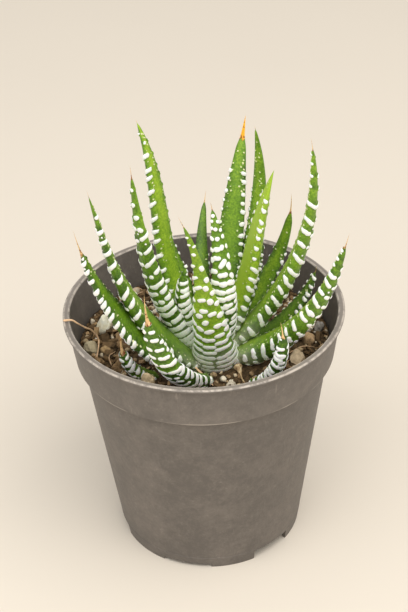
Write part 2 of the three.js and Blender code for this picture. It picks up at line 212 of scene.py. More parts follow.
# The leaves, from the heart of the rosette outwards
LEAVES = [
    Leaf(217, 2, 72, 33, 50, -22, -3, 0, 7, 3.2, 3.4, pitch=2.1, dense=0.7, beads=0.15, dry=0, glow=0.3),
    Leaf(26, 3, 70, 37, 42, 3, 0, 0, 5, 2.8, 2.4, pitch=2.6, beads=1, wrap=(0, 0), dry=1, glow=0.1),
    Leaf(287, 3, 71, 53, 42, -28, 6, 12, 7.5, 4, 3.6, pitch=2.6, dense=0.6, rows=ROWS_03, marks=MARKS_03,
         slim=0.15, dry=3, glow=0.2),
    Leaf(14, 3, 71, 58, 29, 19, -1, 12, 9.5, 4.4, 3.4, pitch=3.2, beads=0.55, rows=(47.5,), wrap=(0.2, 0),
         dry=0, glow=1.35),
    Leaf(141, 3, 70, 74, 57, 28, 0, 35, 7.5, 3.4, 3.8, pitch=4.2, rows=ROWS_05, wrap=(0.7, -0.6),
         specks=0.5, glow=0.55),
    Leaf(72, 3, 70, 68, 40, 27, -5, 10, 9, 4, 2.7, pitch=3.4, beads=1, rows=(50,), wrap=(-0.1, 0.4),
         specks=0.5, dry=8, amber=1, glow=0),
    Leaf(52, 4, 69, 71, 45, -15, -6, 0, 6.5, 3.8, 3.3, pitch=3.4, beads=1, rows=(47,), wrap=(-0.2, -0.2),
         glow=0.15),
    Leaf(199, 4, 69, 70, 39, 3, -22, 8, 11.6, 6.4, 2, pitch=4.4, dense=0.62, rows=ROWS_08, marks=MARKS_08,
         slim=0.1, dry=5, glow=0.38),
    Leaf(352, 4, 69, 78, 45, -10, 19, -2, 8.5, 5, 2.6, pitch=4.6, beads=0.22, rows=ROWS_09, specks=1,
         dry=5, glow=0.65),
    Leaf(270, 5, 65, 70, 34, 27, -50, 16, 13.5, 5.8, 1.1, pitch=4, dense=0.6, marks=MARKS_10, slim=0.34,
         neck=(1.1, 0.25), dry=6, glow=0.85),
    Leaf(104, 5, 68, 48, 51, 40, -30, 0, 5.5, 3, 2.4, beads=1, rows=(26,), wrap=(-0.6, -0.6), specks=0.05,
         dry=5, glow=-0.3),
    Leaf(53, 5, 67, 54, 71, -3, -33, -2, 6, 3.2, 2.6, pitch=3.4, beads=1, rows=(33,), wrap=(-0.4, -0.4),
         specks=0.2, dry=8, glow=0.1),
    Leaf(219, 5, 67, 76, 58, 12, -48, 13, 12, 5, 2.6, pitch=4, rows=ROWS_13, specks=0.9, slim=0.22,
         roll=-28, dry=3, glow=0.12),
    Leaf(331, 5, 67, 65, 69, 12, 17, 7, 10.5, 7, 2, pitch=4, beads=0.2, rows=ROWS_14, specks=0.9,
         dry=6, glow=0.45),
    Leaf(116, 6, 66, 46, 62, 18, 2, 0, 8, 4, 2.2, pitch=3.2, wrap=(-0.3, -0.3), dry=3, glow=0.1),
    Leaf(76, 6, 66, 44, 64, 22, 0, 0, 7.5, 3.8, 2.2, pitch=3.2, wrap=(-0.3, -0.3), dry=3, glow=0.1),
    Leaf(158, 6, 66, 32, 56, -8, 0, 0, 7, 3.6, 2.2, pitch=2.6, wrap=(-0.3, -0.3), dry=3, glow=0.1),
    Leaf(16, 6, 66, 39, 83, 11, 1, 0, 7, 3.6, 3, pitch=2.8, beads=0.5, wrap=(-0.2, 0), dry=3, glow=-0.25),
    Leaf(220, 6, 65, 71, 59, 10, -41, 3, 11, 4.8, 3.2, pitch=2.9, rows=ROWS_19, wrap=(0, -0.6), slim=0.3,
         roll=-48, dry=9, glow=-0.28),
    Leaf(254, 6, 65, 61, 81, -2, -52, 6, 11.5, 5, 1.6, pitch=2.8, rows=ROWS_20, marks=MARKS_20,
         neck=(0.12, 0.22), dry=11, glow=-0.1),
    Leaf(306, 7, 64, 42, 96, -16, 21, 4, 6.5, 3.4, 3, pitch=2.1, beads=0.12, wrap=(0.5, 0.5),
         neck=(0.12, 0.4), dry=6, glow=-0.1),
    Leaf(211, 8, 65, 40, 108, -18, -8, 2, 6, 3.8, 3.4, pitch=2.4, neck=(0.12, 0.42), dry=10.5, glow=0),
]


@dataclass
class Stone:
    """A loose stone on the mix: place, sizes across, along and up, turn, colour, slot, broken faces."""

    x: float
    y: float
    wide: float
    deep: float
    high: float
    turn: float
    colour: int
    slot: str = "gravel"
    flats: int = 7


STONES = [
    Stone(-31.1, 7.2, 4.6, 4, 6.6, 20, 0xF3EBCB, slot="pumice", flats=3),
    Stone(-34.6, -3.6, 4.2, 4.4, 5, 70, 0xC2B493),
    Stone(-30.2, -4.6, 3, 2.6, 2.8, 130, 0xB4966A),
    Stone(-17, -23.4, 3.8, 3.4, 6.2, 10, 0xCDB791),
    Stone(7.1, -23.6, 3, 2.4, 2.2, 40, 0xD8CDB8, slot="pumice"),
    Stone(27.4, -13.4, 4.8, 4.2, 4.4, 85, 0xC9B392),
    Stone(31.6, -2.1, 3.4, 3.6, 4, 35, 0xB99A72),
    Stone(35.2, 3.4, 2.8, 3, 3.4, 150, 0x9B958C),
]

# How deep a stone sits in the mix, as a share of its height, and how much its chipped form is enlarged
STONE_SINK = 0.35
STONE_SWELL = 1.12


@dataclass
class Grains:
    """A kind of loose grain: its sizes in millimetres, its greatest lean in degrees and its tones.

    tones are the two numbers of the beta distribution that the tones are drawn from.
    """

    smallest: float
    largest: float
    lean: float
    tones: tuple


BARK_CHIPS = Grains(0.9, 3.8, 40, (1.6, 2.4))
EARTH_CRUMBS = Grains(0.5, 1.7, 180, (1.2, 4))
GRIT_GRAINS = Grains(0.6, 2.6, 60, (1, 1.6))

# How far the middle of a grain and of a loose bit lies over the mix, as a share of its size
GRAIN_RISE = 0.2
BIT_RISE = 0.4

# Greatest lean of a loose bit, in degrees
BIT_LEAN = 30

# Small bits in front of the crown and by the rim: place, size and tone from 0, pale, to 1, brown
LOOSE_BITS = [
    (4.9, -21.5, 1.9, 0.0), (7.1, -21.9, 1.7, 0.05), (2.2, -19.5, 1.8, 0.75), (4.4, -17.6, 1.4, 0.5),
    (-31, -8.6, 1.9, 0.2), (-36.2, -1.2, 2.2, 0.55), (-0.4, -23.9, 1.6, 0.5), (28.4, -9.2, 1.9, 0.65),
    (33.6, 4, 1.5, 0.3), (30.8, -6.4, 1.4, 0.6), (14.4, -22.2, 1.9, 0.7), (16.8, -20.4, 1.5, 0.35),
    (13.4, -18.8, 1.7, 0.85), (18.8, -22.8, 1.6, 0.6), (-2.8, -22, 1.8, 0.8), (8.6, -18.8, 1.3, 0.4),
    (6.6, -19.6, 1.5, 0.9), (17.6, -17.6, 1.8, 0.75), (12.8, -24.6, 1.5, 0.5), (20.6, -19.6, 1.4, 0.3),
    (-1.4, -20.4, 1.3, 0.25), (3, -23.4, 1.5, 0.85), (9.4, -24, 1.4, 0.65), (15.2, -24.8, 1.3, 0.8),
]

# Route of a dry strip of leaf that lies in front of the crown, in millimetres
STRIP_ROUTE = [
    (-5.4, -14.2, 71), (-3.9, -16.4, 70.2), (-2, -19, 69.6), (0, -22.2, 69.3), (2, -25.8, 69.2),
]

# Routes of the dried rootlet and of the stub of a shed leaf, in millimetres
ROOTLET_ROUTE = [
    (-42, -6.4, 80.8), (-39.4, -6.6, 81), (-37.6, -6.4, 79.5), (-35.6, -5.1, 77), (-34.4, -3.8, 75.5),
    (-33.4, -3.3, 74), (-32.5, -3.2, 72.4), (-32.1, -4, 70.8), (-32.4, -7.1, 69.3), (-32.8, -9.8, 68.8),
]
STUB_ROUTE = [(9.4, -15.4), (10.1, -18.4), (10.6, -21.4), (11.7, -25.6)]

# How far the stub's middle lies over the mix, and how far from the pot's axis fibres end, in millimetres
STUB_LIFT = 1.2
FIBRE_REACH = 37.5

# The stage, in metres: size of the floor, places and size of the lights, and the point they face
FLOOR_SIZE = 8
KEY_PLACE = (0.28, -0.42, 0.92)
FILL_PLACE = (-0.55, -0.45, 0.75)
LIGHT_SIZE = 0.9
LIT_POINT = (0, 0, 0.06)

# Colours of the lights and of the sky
KEY_COLOUR = (1.0, 0.98, 0.95)
FILL_COLOUR = (0.98, 0.99, 1.0)
SKY_COLOUR = (1.0, 0.985, 0.96, 1)

# The camera: the width of its sensor in millimetres, and the nearest distance it sees in metres
SENSOR_WIDTH = 36
NEAREST_SEEN = 0.02


def linear(colour):
    """An sRGB colour such as 0x787068 as the linear RGB that shaders work in."""
    channels = [(colour >> shift & 255) / 255 for shift in (16, 8, 0)]
    return tuple(c / 12.92 if c <= 0.04045 else ((c + 0.055) / 1.055) ** 2.4 for c in channels)


def smooth(value, low, high):
    """A smooth step from 0 at low to 1 at high."""
    t = np.clip((np.asarray(value, float) - low) / (high - low), 0, 1)
    return t * t * (3 - 2 * t)


# Settings that a user would change


def colour_setting(name, description, colour):
    return bpy.props.FloatVectorProperty(
        name=name, description=description, default=linear(colour), subtype="COLOR", min=0, max=1
    )


def length_setting(name, description, millimetres):
    return bpy.props.FloatProperty(
        name=name, description=description, default=millimetres * MM, unit="LENGTH", subtype="DISTANCE"
    )


def count_setting(name, description, count):
    return bpy.props.IntProperty(name=name, description=description, default=count, min=0)


class PotSettings(bpy.types.PropertyGroup):
    """Sizes and colours of the nursery pot."""

    height: length_setting("Height", "Height of the pot over its foot", 80)
    lip_radius: length_setting("Lip radius", "Outer radius of the rolled lip", 42.5)
    lip_width: length_setting("Lip width", "Width of the rolled lip, seen from above", 2.1)
    lip_depth: length_setting("Lip depth", "Height of the rolled lip", 1.1)
    band_radius: length_setting("Band radius", "Outer radius of the rim band just under the lip", 41.4)
    ledge_height: length_setting("Ledge height", "Height of the step under the rim band", 65.4)
    ledge_width: length_setting("Ledge width", "How far the rim band stands out of the body", 1.8)
    body_radius: length_setting("Body radius", "Outer radius of the body just under the step", 37.8)
    foot_radius: length_setting("Foot radius", "Outer radius of the foot ring", 28.8)
    foot_height: length_setting("Foot height", "Height of the raised floor", 4)
    floor_thickness: length_setting("Floor thickness", "Thickness of the pot's floor", 1.2)
    wall: length_setting("Wall", "Thickness of the plastic", 1.1)
    plastic: colour_setting("Plastic", "Colour of the moulded plastic", 0x625C56)
    # This colour also lightens the top of the lip, partly as a dusty film and partly as a painted
    # highlight
    dust_and_highlight: colour_setting("Dust", "Colour of the dust and water marks on the plastic", 0x9A9086)
    # Partly wear, partly painted highlight: this colour lightens the lip's top edges and the line along
    # the ledge
    worn_and_highlit_edges: colour_setting("Worn lip", "Colour of the scuffed edge of the lip", 0xC8BDB0)


class LeafSettings(bpy.types.PropertyGroup):
    """Relief and colours of the leaves."""

    mesh_step: length_setting("Mesh step", "Distance between neighbouring points on a leaf's back", 0.25)
    tubercle_width: length_setting("Tubercle width", "Width of a row of white tubercles", 1.2)
    tubercle_height: length_setting("Tubercle height", "How far the tubercles stand out of the leaf", 0.5)
    deep_green: colour_setting("Deep green", "Darkest green of a leaf's back", 0x3A5A15)
    leaf_green: colour_setting("Leaf green", "Usual green of the leaf", 0x6E9422)
    bright_green: colour_setting("Bright green", "Yellow-green of the young and lit leaves", 0xA6C436)
    root_cream: colour_setting("Root cream", "Pale colour of a leaf's root", 0xE4E6C8)
    tubercle_white: colour_setting("Tubercle white", "Colour of the tubercles", 0xF8F8F3)
    tubercle_cream: colour_setting("Tubercle cream", "Colour of the specks on the inner face", 0xDDE0A8)
    dry_tan: colour_setting("Dry tan", "Light colour of a withered tip", 0xE3BC85)
    dry_brown: colour_setting("Dry brown", "Dark colour of a withered tip", 0x84451F)
    dry_amber: colour_setting("Dry amber", "Orange of a freshly withered tip", 0xF3B02A)


class MixSettings(bpy.types.PropertyGroup):
    """Grains and colours of the potting mix."""

    chips: count_setting("Bark chips", "How many bark chips lie on the mix", 900)
    crumbs: count_setting("Crumbs", "How many crumbs of earth lie on the mix", 1500)
    grit: count_setting("Grit", "How many pale grains lie on the mix", 420)
    fibres: count_setting("Fibres", "How many root fibres lie on the mix", 34)
    earth: colour_setting("Earth", "Dark colour of the mix", 0x453621)
    bark: colour_setting("Bark", "Middle colour of the bark", 0x7E6444)
    bark_light: colour_setting("Light bark", "Orange-brown colour of fresh bark", 0xC8A67A)
    grit_pale: colour_setting("Pale grit", "Colour of pumice and perlite", 0xE8DFCC)
    dry_root: colour_setting("Dry root", "Colour of the dried rootlet and of the fibres", 0xEFC79C)


class StageSettings(bpy.types.PropertyGroup):
    """Floor, light and camera."""

    camera_elevation: bpy.props.FloatProperty(
        name="Camera elevation", description="How far the camera looks down", default=math.radians(34.12),
        unit="ROTATION", subtype="ANGLE",
    )
    camera_roll: bpy.props.FloatProperty(
        name="Camera roll", description="How far the camera is turned about its own axis",
        default=math.radians(-2.10), unit="ROTATION", subtype="ANGLE",
    )
    camera_distance: length_setting("Camera distance", "From the camera to the point it looks at", 452.3)
    target: bpy.props.FloatVectorProperty(
        name="Target", description="The point the camera looks at", default=(0.00012, 0, 0.07987),
        unit="LENGTH", subtype="XYZ",
    )
    lens: bpy.props.FloatProperty(
        name="Lens", description="Focal length in millimetres on a 36 mm sensor", default=88.235
    )
    floor: colour_setting("Floor", "Colour of the floor", 0xE6DCCD)
    sky: bpy.props.FloatProperty(
        name="Sky", description="Strength of the light from all round", default=0.64
    )
    key: bpy.props.FloatProperty(
        name="Key light", description="Power of the light at the right", default=7.4, unit="POWER"
    )
    fill: bpy.props.FloatProperty(
        name="Fill light", description="Power of the light at the left", default=3.2, unit="POWER"
    )


# Nodes


class Value:
    """One output of a node, with arithmetic on it written as on a number."""

    def __init__(self, sheet, socket):
        self.sheet = sheet
        self.socket = socket

    def _math(self, operation, a, b):
        return self.sheet.add("ShaderNodeMath", {"operation": operation}, {0: a, 1: b})

    def __add__(self, other):
        return self._math("ADD", self, other)

    def __radd__(self, other):
        return self._math("ADD", other, self)

    def __sub__(self, other):
        return self._math("SUBTRACT", self, other)

    def __rsub__(self, other):
        return self._math("SUBTRACT", other, self)

    def __mul__(self, other):
        return self._math("MULTIPLY", self, other)

    def __rmul__(self, other):
        return self._math("MULTIPLY", other, self)

    def at_most(self, other):
        return self._math("MINIMUM", self, other)


class FinishSheet:
    """A material under construction: its nodes and the one shader that they feed."""

    def __init__(self, name, **fixed):
        self.material = bpy.data.materials.new(name)
        self.material.use_nodes = True
        self.tree = self.material.node_tree
        self.tree.nodes.clear()
        self.shader = self.tree.nodes.new("ShaderNodeBsdfPrincipled")
        self.inputs = {socket.name.lower().replace(" ", "_"): socket for socket in self.shader.inputs}
        self.feed(**fixed)
        out = self.tree.nodes.new("ShaderNodeOutputMaterial")
        self.tree.links.new(self.shader.outputs[0], out.inputs["Surface"])

    def add(self, kind, settings=None, sockets=None, output=0):
        """A new node of that type: its settings come first, then the values or links of its sockets."""
        node = self.tree.nodes.new(kind)
        for name, value in (settings or {}).items():
            if name == "stops":
                self._set_stops(node.color_ramp, value)
            else:
                setattr(node, name, value)
        for name, value in (sockets or {}).items():
            self._feed(node.inputs[name], value)
        return Value(self, node.outputs[output])

    def _feed(self, socket, value):
        if isinstance(value, Value):
            self.tree.links.new(value.socket, socket)
        elif socket.type == "RGBA":
            socket.default_value = (*value[:3], 1)
        else:
            socket.default_value = value

    @staticmethod
    def _set_stops(ramp, stops):
        while len(ramp.elements) < len(stops):
            ramp.elements.new(0.5)
        for element, (place, colour) in zip(ramp.elements, stops):
            element.position = place
            element.color = (*colour[:3], 1)

    def feed(self, **inputs):
        """Links or sets inputs of the shader, named in small letters with _ for a blank."""
        for name, value in inputs.items():
            self._feed(self.inputs[name], value)

    def place(self):
        """Object coordinates."""
        return self.add("ShaderNodeTexCoord", output="Object")

    def stretched(self, scale):
        return self.add("ShaderNodeMapping", sockets={"Vector": self.place(), "Scale": scale})

    def along_axis(self, axis):
        return self.add("ShaderNodeSeparateXYZ", sockets={"Vector": self.place()}, output=axis)

    def from_axis(self):
        """Distance from the pot's axis."""
        flat = self.stretched((1, 1, 0))
        return self.add("ShaderNodeVectorMath", {"operation": "LENGTH"}, {0: flat}, output="Value")

    def near(self, value, middle, width):
        """1 where value is at the middle, falling to 0 at width from it."""
        away = self.add("ShaderNodeMath", {"operation": "ABSOLUTE"}, {0: value - middle})
        return self.step(away, 0.2 * width, width, 1.0, 0.0)

    def painted(self, name):
        """A number that the mesh carries at each point."""
        return self.add("ShaderNodeAttribute", {"attribute_name": name}, output="Fac")

    def grain(self, size, vector=None, detail=3, roughness=0.55):
        """Noise from 0 to 1 whose lumps are about size metres across."""
        sockets = {"Vector": vector or self.place(), "Scale": 1 / size}
        sockets |= {"Detail": detail, "Roughness": roughness}
        return self.add("ShaderNodeTexNoise", sockets=sockets)

    def cells(self, size):
        """Distance to the nearest of scattered points about size metres apart."""
        sockets = {"Scale": 1 / size, "Vector": self.place()}
        return self.add("ShaderNodeTexVoronoi", {"feature": "F1"}, sockets, output="Distance")

    def step(self, value, low, high, bottom=0.0, top=1.0):
        sockets = {"Value": value, "From Min": low, "From Max": high, "To Min": bottom, "To Max": top}
        return self.add("ShaderNodeMapRange", {"interpolation_type": "SMOOTHSTEP"}, sockets)

    def mix(self, share, first, second):
        """Two colours mixed: all of the first where share is 0."""
        return self.add("ShaderNodeMix", {"data_type": "RGBA"}, {0: share, 6: first, 7: second}, output=2)

    def ramp(self, share, stops):
        return self.add("ShaderNodeValToRGB", {"stops": stops}, {"Fac": share})

    def relief(self, height, depth):
        """Bumps depth metres deep where height goes from 0 to 1."""
        sockets = {"Height": height, "Distance": depth, "Strength": 1.0}
        self.feed(normal=self.add("ShaderNodeBump", sockets=sockets))


def pot_finish(settings):
    """Matt grey-brown moulded plastic: mottled, brushed with fine scratches and worn along its edges,
    with painted highlights on the lip's top and edges and along the ledge.
    """
    sheet = FinishSheet("moulded_plastic", specular_ior_level=0.4)
    height = sheet.along_axis("Z")
    radius = sheet.from_axis()
    cloud = sheet.grain(0.016, detail=4, roughness=0.62)
    blotch = sheet.grain(0.0032, detail=4, roughness=0.6)
    fine = sheet.grain(0.0009, detail=4, roughness=0.7)
    upright = sheet.grain(0.0008, vector=sheet.stretched((1, 1, 0.09)), detail=3)
    patches = sheet.step(cloud, 0.4, 0.7)
    band = sheet.step(height, settings.ledge_height - 0.001, settings.ledge_height + 0.002)
    marks = sheet.step(upright, 0.58, 0.78) * sheet.step(sheet.grain(0.012, detail=3), 0.42, 0.64)
    scuffs = sheet.step(fine, 0.56, 0.74) * sheet.step(blotch, 0.5, 0.66)
    top = sheet.step(height, settings.height - 0.5 * MM, settings.height - 0.25 * MM)
    ring = sheet.near(radius, settings.lip_radius - 0.3 * MM, 0.45 * MM)
    ring = ring + sheet.near(radius, settings.lip_radius - settings.lip_width + 0.3 * MM, 0.4 * MM)
    rubbed_and_glinting = sheet.step(sheet.grain(0.004, detail=5, roughness=0.75), 0.36, 0.58)
    # Painted highlight: a thin light line along the outer edge of the ledge, where the band's foot
    # catches the light
    ledge = sheet.near(height, settings.ledge_height + 0.25 * MM, 0.45 * MM)
    ledge = ledge * sheet.step(radius, settings.body_radius + 1.2 * MM, settings.body_radius + 1.6 * MM)
    ledge = ledge * sheet.step(sheet.grain(0.02, detail=3), 0.4, 0.6)
    mottling = patches * 0.2 + (blotch - 0.4) * 0.45 + (fine - 0.5) * 0.5
    colour = sheet.mix(mottling, settings.plastic, settings.dust_and_highlight)
    colour = sheet.mix((marks * (0.2 + band * 0.4) + scuffs * 0.4).at_most(1.0), colour, settings.dust_and_highlight)
    # The top of the lip is painted lighter, partly dusty and partly a painted highlight; the rim band a
    # touch lighter
    colour = sheet.mix(top * 0.5 + band * 0.05, colour, settings.dust_and_highlight)
    # Partly wear, partly painted highlight: the lip's edges, broken up by noise, and the ledge line are
    # lightened
    colour = sheet.mix((top * ring * rubbed_and_glinting * 0.9 + ledge * 0.5).at_most(1.0), colour, settings.worn_and_highlit_edges)
    sheet.feed(base_color=colour, roughness=0.46 + patches * 0.12 + fine * 0.12 - top * 0.06)
    sheet.relief(fine * 0.6 + cloud * 0.4 - marks * 0.3, 0.00012)
    return sheet.material


def leaf_finish(settings):
    """Green skin with white tubercles, a pale root and a withered tip, all painted along the leaf."""
    sheet = FinishSheet("leaf_skin", specular_ior_level=0.35)
    sheet.feed(subsurface_weight=0.12, subsurface_scale=0.0012, subsurface_radius=(0.5, 0.9, 0.25))
    tubercle = sheet.painted("tubercle")
    along = sheet.painted("along")
    inner = sheet.painted("inner")
    dry = sheet.painted("dry")
    cloud = sheet.grain(0.006, detail=3)
    speck = sheet.grain(0.0006, detail=3, roughness=0.6)
    shade = (sheet.step(sheet.painted("between"), 0.05, 0.95) - 0.5) * (1 - inner)
    # Painted light and shade: each leaf's own number brightens or darkens its green, partly as its tint
    # and partly to stand in for how brightly it is lit
    lit = sheet.painted("glow") * sheet.step(along + inner, 0.12, 0.5, 0.2, 0.5)
    bright = -0.05 + lit + inner * 0.45 + shade * 0.3 + (cloud - 0.5) * 0.7
    bright = bright + (speck - 0.5) * 1.1 + sheet.step(along, 0.12, 0.5) * 0.16
    greens = [(0.0, settings.deep_green), (0.5, settings.leaf_green), (1.0, settings.bright_green)]
    skin = sheet.ramp(bright, greens)
    root = sheet.step(along + (cloud - 0.5) * 0.08, 0.06, 0.27, 1.0, 0.0)
    skin = sheet.mix(root * (0.42 - inner * 0.34), skin, settings.root_cream)
    warts = sheet.mix(sheet.painted("cream"), settings.tubercle_white, settings.tubercle_cream)
    warts = sheet.mix(sheet.step(along, 0.02, 0.2, 0.15, 0.0), warts, settings.root_cream)
    cap = sheet.step(tubercle, 0.4, 0.6)
    skin = sheet.mix(cap, skin, warts)
    tan = sheet.mix(sheet.painted("amber"), settings.dry_tan, settings.dry_amber)
    browned = sheet.step(sheet.grain(0.0008, detail=4) + (1 - dry) * 0.2, 0.52, 0.66)
    withered = sheet.mix(browned, tan, settings.dry_brown)
    colour = sheet.mix(sheet.step(dry, 0.2, 0.45), skin, withered)
    rough = 0.44 + (speck - 0.5) * 0.15 + cap * 0.16 + dry * 0.3
    sheet.feed(base_color=colour, roughness=rough)
    ribs = sheet.grain(0.0005, detail=2) * dry
    sheet.relief(speck * 0.5 + ribs, 0.00008)
    return sheet.material


def earth_finish(settings):
    """Dark, damp potting earth with browner patches."""
    sheet = FinishSheet("potting_earth", specular_ior_level=0.3)
    lumps = sheet.grain(0.0016, detail=5, roughness=0.7)
    patches = sheet.grain(0.007, detail=3)
    colour = sheet.mix(sheet.step(lumps, 0.4, 0.72), settings.earth, settings.bark)
    colour = sheet.mix(sheet.step(patches, 0.35, 0.65) * 0.6, colour, settings.earth)
    sheet.feed(base_color=colour, roughness=0.75 + lumps * 0.2)
    sheet.relief(lumps, 0.0009)
    return sheet.material


def bark_finish(settings):
    """Bark chips and crumbs, from near black to orange-brown, each with its own tone."""
    sheet = FinishSheet("bark", specular_ior_level=0.3)
    tone = sheet.painted("tone")
    fibre = sheet.grain(0.0011, vector=sheet.stretched((1, 0.4, 1)), detail=4, roughness=0.65)
    stops = [(0.0, settings.earth), (0.55, settings.bark), (1.0, settings.bark_light)]
    colour = sheet.ramp(tone + (fibre - 0.5) * 0.7, stops)
    sheet.feed(base_color=colour, roughness=0.7 + fibre * 0.25)
    sheet.relief(fibre, 0.0003)
    return sheet.material


def grit_finish(settings):
    """Pumice, perlite and gravel grains, from pale to brown, with pores."""
    sheet = FinishSheet("grit", specular_ior_level=0.35)
    tone = sheet.painted("tone")
    pores = sheet.cells(0.0007)
    dirt = sheet.grain(0.0018, detail=4, roughness=0.65)
    stops = [(0.0, settings.grit_pale), (0.6, linear(0xBFA983)), (1.0, linear(0x7F6548))]
    colour = sheet.ramp(tone + sheet.step(dirt, 0.45, 0.75) * 0.45, stops)
    sheet.feed(base_color=colour, roughness=0.72 + dirt * 0.2)
    sheet.relief(pores * 0.6 + dirt * 0.4, 0.00025)
    return sheet.material


def stone_finish(name, colour, settings):
    """A weathered stone of that colour, pitted and stained with earth near the mix."""
    sheet = FinishSheet(name, specular_ior_level=0.35)
    cloud = sheet.grain(0.0022, detail=4, roughness=0.65)
    pits = sheet.cells(0.0009)
    pale = tuple(min(0.9, 1.25 * c + 0.02) for c in colour)
    dark = tuple(0.7 * c for c in colour)
    mixed = sheet.ramp(cloud, [(0.22, dark), (0.4, colour), (0.7, pale)])
    mixed = sheet.mix(sheet.step(pits, 0.1, 0.3, 0.3, 0.0), mixed, dark)
    low = sheet.step(sheet.along_axis("Z") + (cloud - 0.5) * 0.003, *STONE_STAIN, 0.7, 0.0)
    mixed = sheet.mix(low, mixed, settings.earth)
    sheet.feed(base_color=mixed, roughness=0.7 + cloud * 0.2)
    sheet.relief(cloud * 0.5 + pits * 0.5, 0.0003)
    return sheet.material


def dry_root_finish(settings):
    """A dried root: tan, with darker wrinkles."""
    sheet = FinishSheet("dried_root")
    wrinkle = sheet.grain(0.0009, detail=3)
    dark = tuple(0.4 * c for c in settings.dry_root)
    colour = sheet.mix(sheet.step(wrinkle, 0.48, 0.75) * 0.8, settings.dry_root, dark)
    sheet.feed(base_color=colour, roughness=0.6 + wrinkle * 0.3)
    sheet.relief(wrinkle, 0.00012)
    return sheet.material


def dry_leaf_finish():
    """A shrivelled leaf: papery beige with brown ribs."""
    sheet = FinishSheet("dried_leaf")
    ribs = sheet.grain(0.0008, vector=sheet.stretched((1, 0.3, 1)), detail=4)
    stops = [(0.3, linear(0x6B4A2C)), (0.5, linear(0xBCA27A)), (0.75, linear(0xE2D3B0))]
    colour = sheet.ramp(ribs, stops)
    sheet.feed(base_color=colour, roughness=0.72 + ribs * 0.2)
    sheet.relief(ribs, 0.0002)
    return sheet.material


def stem_finish(leaf_settings, mix_settings):
    """The rootstock: cream, browned by the earth round it."""
    sheet = FinishSheet("rootstock")
    bark = sheet.grain(0.0016, detail=4)
    low = sheet.step(sheet.along_axis("Z") + (bark - 0.5) * 0.004, *STEM_STAIN, 1.0, 0.0)
    colour = sheet.mix(low, leaf_settings.root_cream, mix_settings.bark)
    sheet.feed(base_color=colour, roughness=0.6 + bark * 0.25)
    sheet.relief(bark, 0.0003)
    return sheet.material


def floor_finish(settings):
    """A plain pale floor with the faintest cloudiness."""
    sheet = FinishSheet("pale_floor", specular_ior_level=0.2)
    cloud = sheet.grain(0.12, detail=2)
    shade = tuple(0.965 * c for c in settings.floor)
    sheet.feed(base_color=sheet.mix(cloud, settings.floor, shade), roughness=0.7 + cloud * 0.1)
    return sheet.material


# Modelling


def pick_none():
    if bpy.context.mode != "OBJECT":
        bpy.ops.object.mode_set(mode="OBJECT")
    bpy.ops.object.select_all(action="DESELECT")


def pick(piece):
    pick_none()
    piece.select_set(True)
    bpy.context.view_layer.objects.active = piece


def added(name):
    """The object that a primitive operator has just added, under its own name."""
    piece = bpy.context.object
    piece.name = name
    piece.data.name = name
    return piece


def finish_modifiers(piece):
    pick(piece)
    for modifier in list(piece.modifiers):
        bpy.ops.object.modifier_apply(modifier=modifier.name)


def face_outwards(piece):
    pick(piece)
    bpy.ops.object.mode_set(mode="EDIT")
    bpy.ops.mesh.select_all(action="SELECT")
    bpy.ops.mesh.normals_make_consistent(inside=False)
    bpy.ops.object.mode_set(mode="OBJECT")


def smooth_shaded(piece, angle=None):
    pick(piece)
    if angle is None:
        bpy.ops.object.shade_smooth()
    else:
        bpy.ops.object.shade_smooth_by_angle(angle=angle)


def settled(piece, finish, slot, *nodes):
    """The finished piece gets its material, rides on the part and stands for its nodes; the slot it is
    handed is not used.
    """
    piece.data.materials.clear()
    piece.data.materials.append(finish)
    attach(piece, "root")
    if nodes:
        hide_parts(*nodes)
    return piece


def paint(piece, name, values):
    """Gives the mesh a number at each point."""
    layer = piece.data.attributes.new(name, "FLOAT", "POINT")
    layer.data.foreach_set("value", np.ascontiguousarray(values, dtype=np.float32).ravel())


def points_of(piece):
    places = np.empty(3 * len(piece.data.vertices), np.float64)
    piece.data.vertices.foreach_get("co", places)
    return places.reshape(-1, 3)


def move_points(piece, places):
    piece.data.vertices.foreach_set("co", np.ascontiguousarray(places, dtype=np.float32).ravel())
    piece.data.update()


def turned(name, profile, sides):
    """A form turned about +Z, from one pole to the other: each ring is extruded from the last."""
    pick_none()
    radius, level = profile[0]
    bpy.ops.mesh.primitive_circle_add(vertices=sides, radius=radius, fill_type="TRIFAN")
    piece = added(name)
    bpy.ops.object.mode_set(mode="EDIT")
    bpy.ops.transform.translate(value=(0, 0, level))
    bpy.ops.mesh.select_all(action="DESELECT")
    shape = bmesh.from_edit_mesh(piece.data)
    for edge in shape.edges:
        edge.select = edge.is_boundary
    shape.select_flush_mode()
    bmesh.update_edit_mesh(piece.data)
    for next_radius, next_level in profile[1:]:
        lift = {"value": (0, 0, next_level - level)}
        bpy.ops.mesh.extrude_region_move(TRANSFORM_OT_translate=lift)
        if next_radius == 0:
            bpy.ops.mesh.merge(type="CENTER")
            break
        scale = next_radius / radius
        bpy.ops.transform.resize(value=(scale, scale, 1), center_override=(0, 0, next_level))
        radius, level = next_radius, next_level
    bpy.ops.object.mode_set(mode="OBJECT")
    face_outwards(piece)
    return piece


def round_rings(piece, rings, width, segments):
    """Bevels the rings of edges at those radii and heights."""
    pick(piece)
    bpy.ops.object.mode_set(mode="EDIT")
    bpy.ops.mesh.select_all(action="DESELECT")
    shape = bmesh.from_edit_mesh(piece.data)

    def on_ring(vertex, radius, level):
        level_here = abs(vertex.co.z - level) < SAME_HEIGHT
        return level_here and abs(vertex.co.xy.length - radius) < SAME_RADIUS

    for edge in shape.edges:
        first, second = edge.verts
        edge.select = any(on_ring(first, *ring) and on_ring(second, *ring) for ring in rings)
    shape.select_flush_mode()
    bmesh.update_edit_mesh(piece.data)
    bpy.ops.mesh.bevel(offset=width, segments=segments, affect="EDGES")
    bpy.ops.object.mode_set(mode="OBJECT")


def cut_away(piece, tools):
    for tool in tools:
        cut = piece.modifiers.new("cut", "BOOLEAN")
        cut.object = tool
        cut.solver = "EXACT"
        finish_modifiers(piece)
        bpy.data.objects.remove(tool)


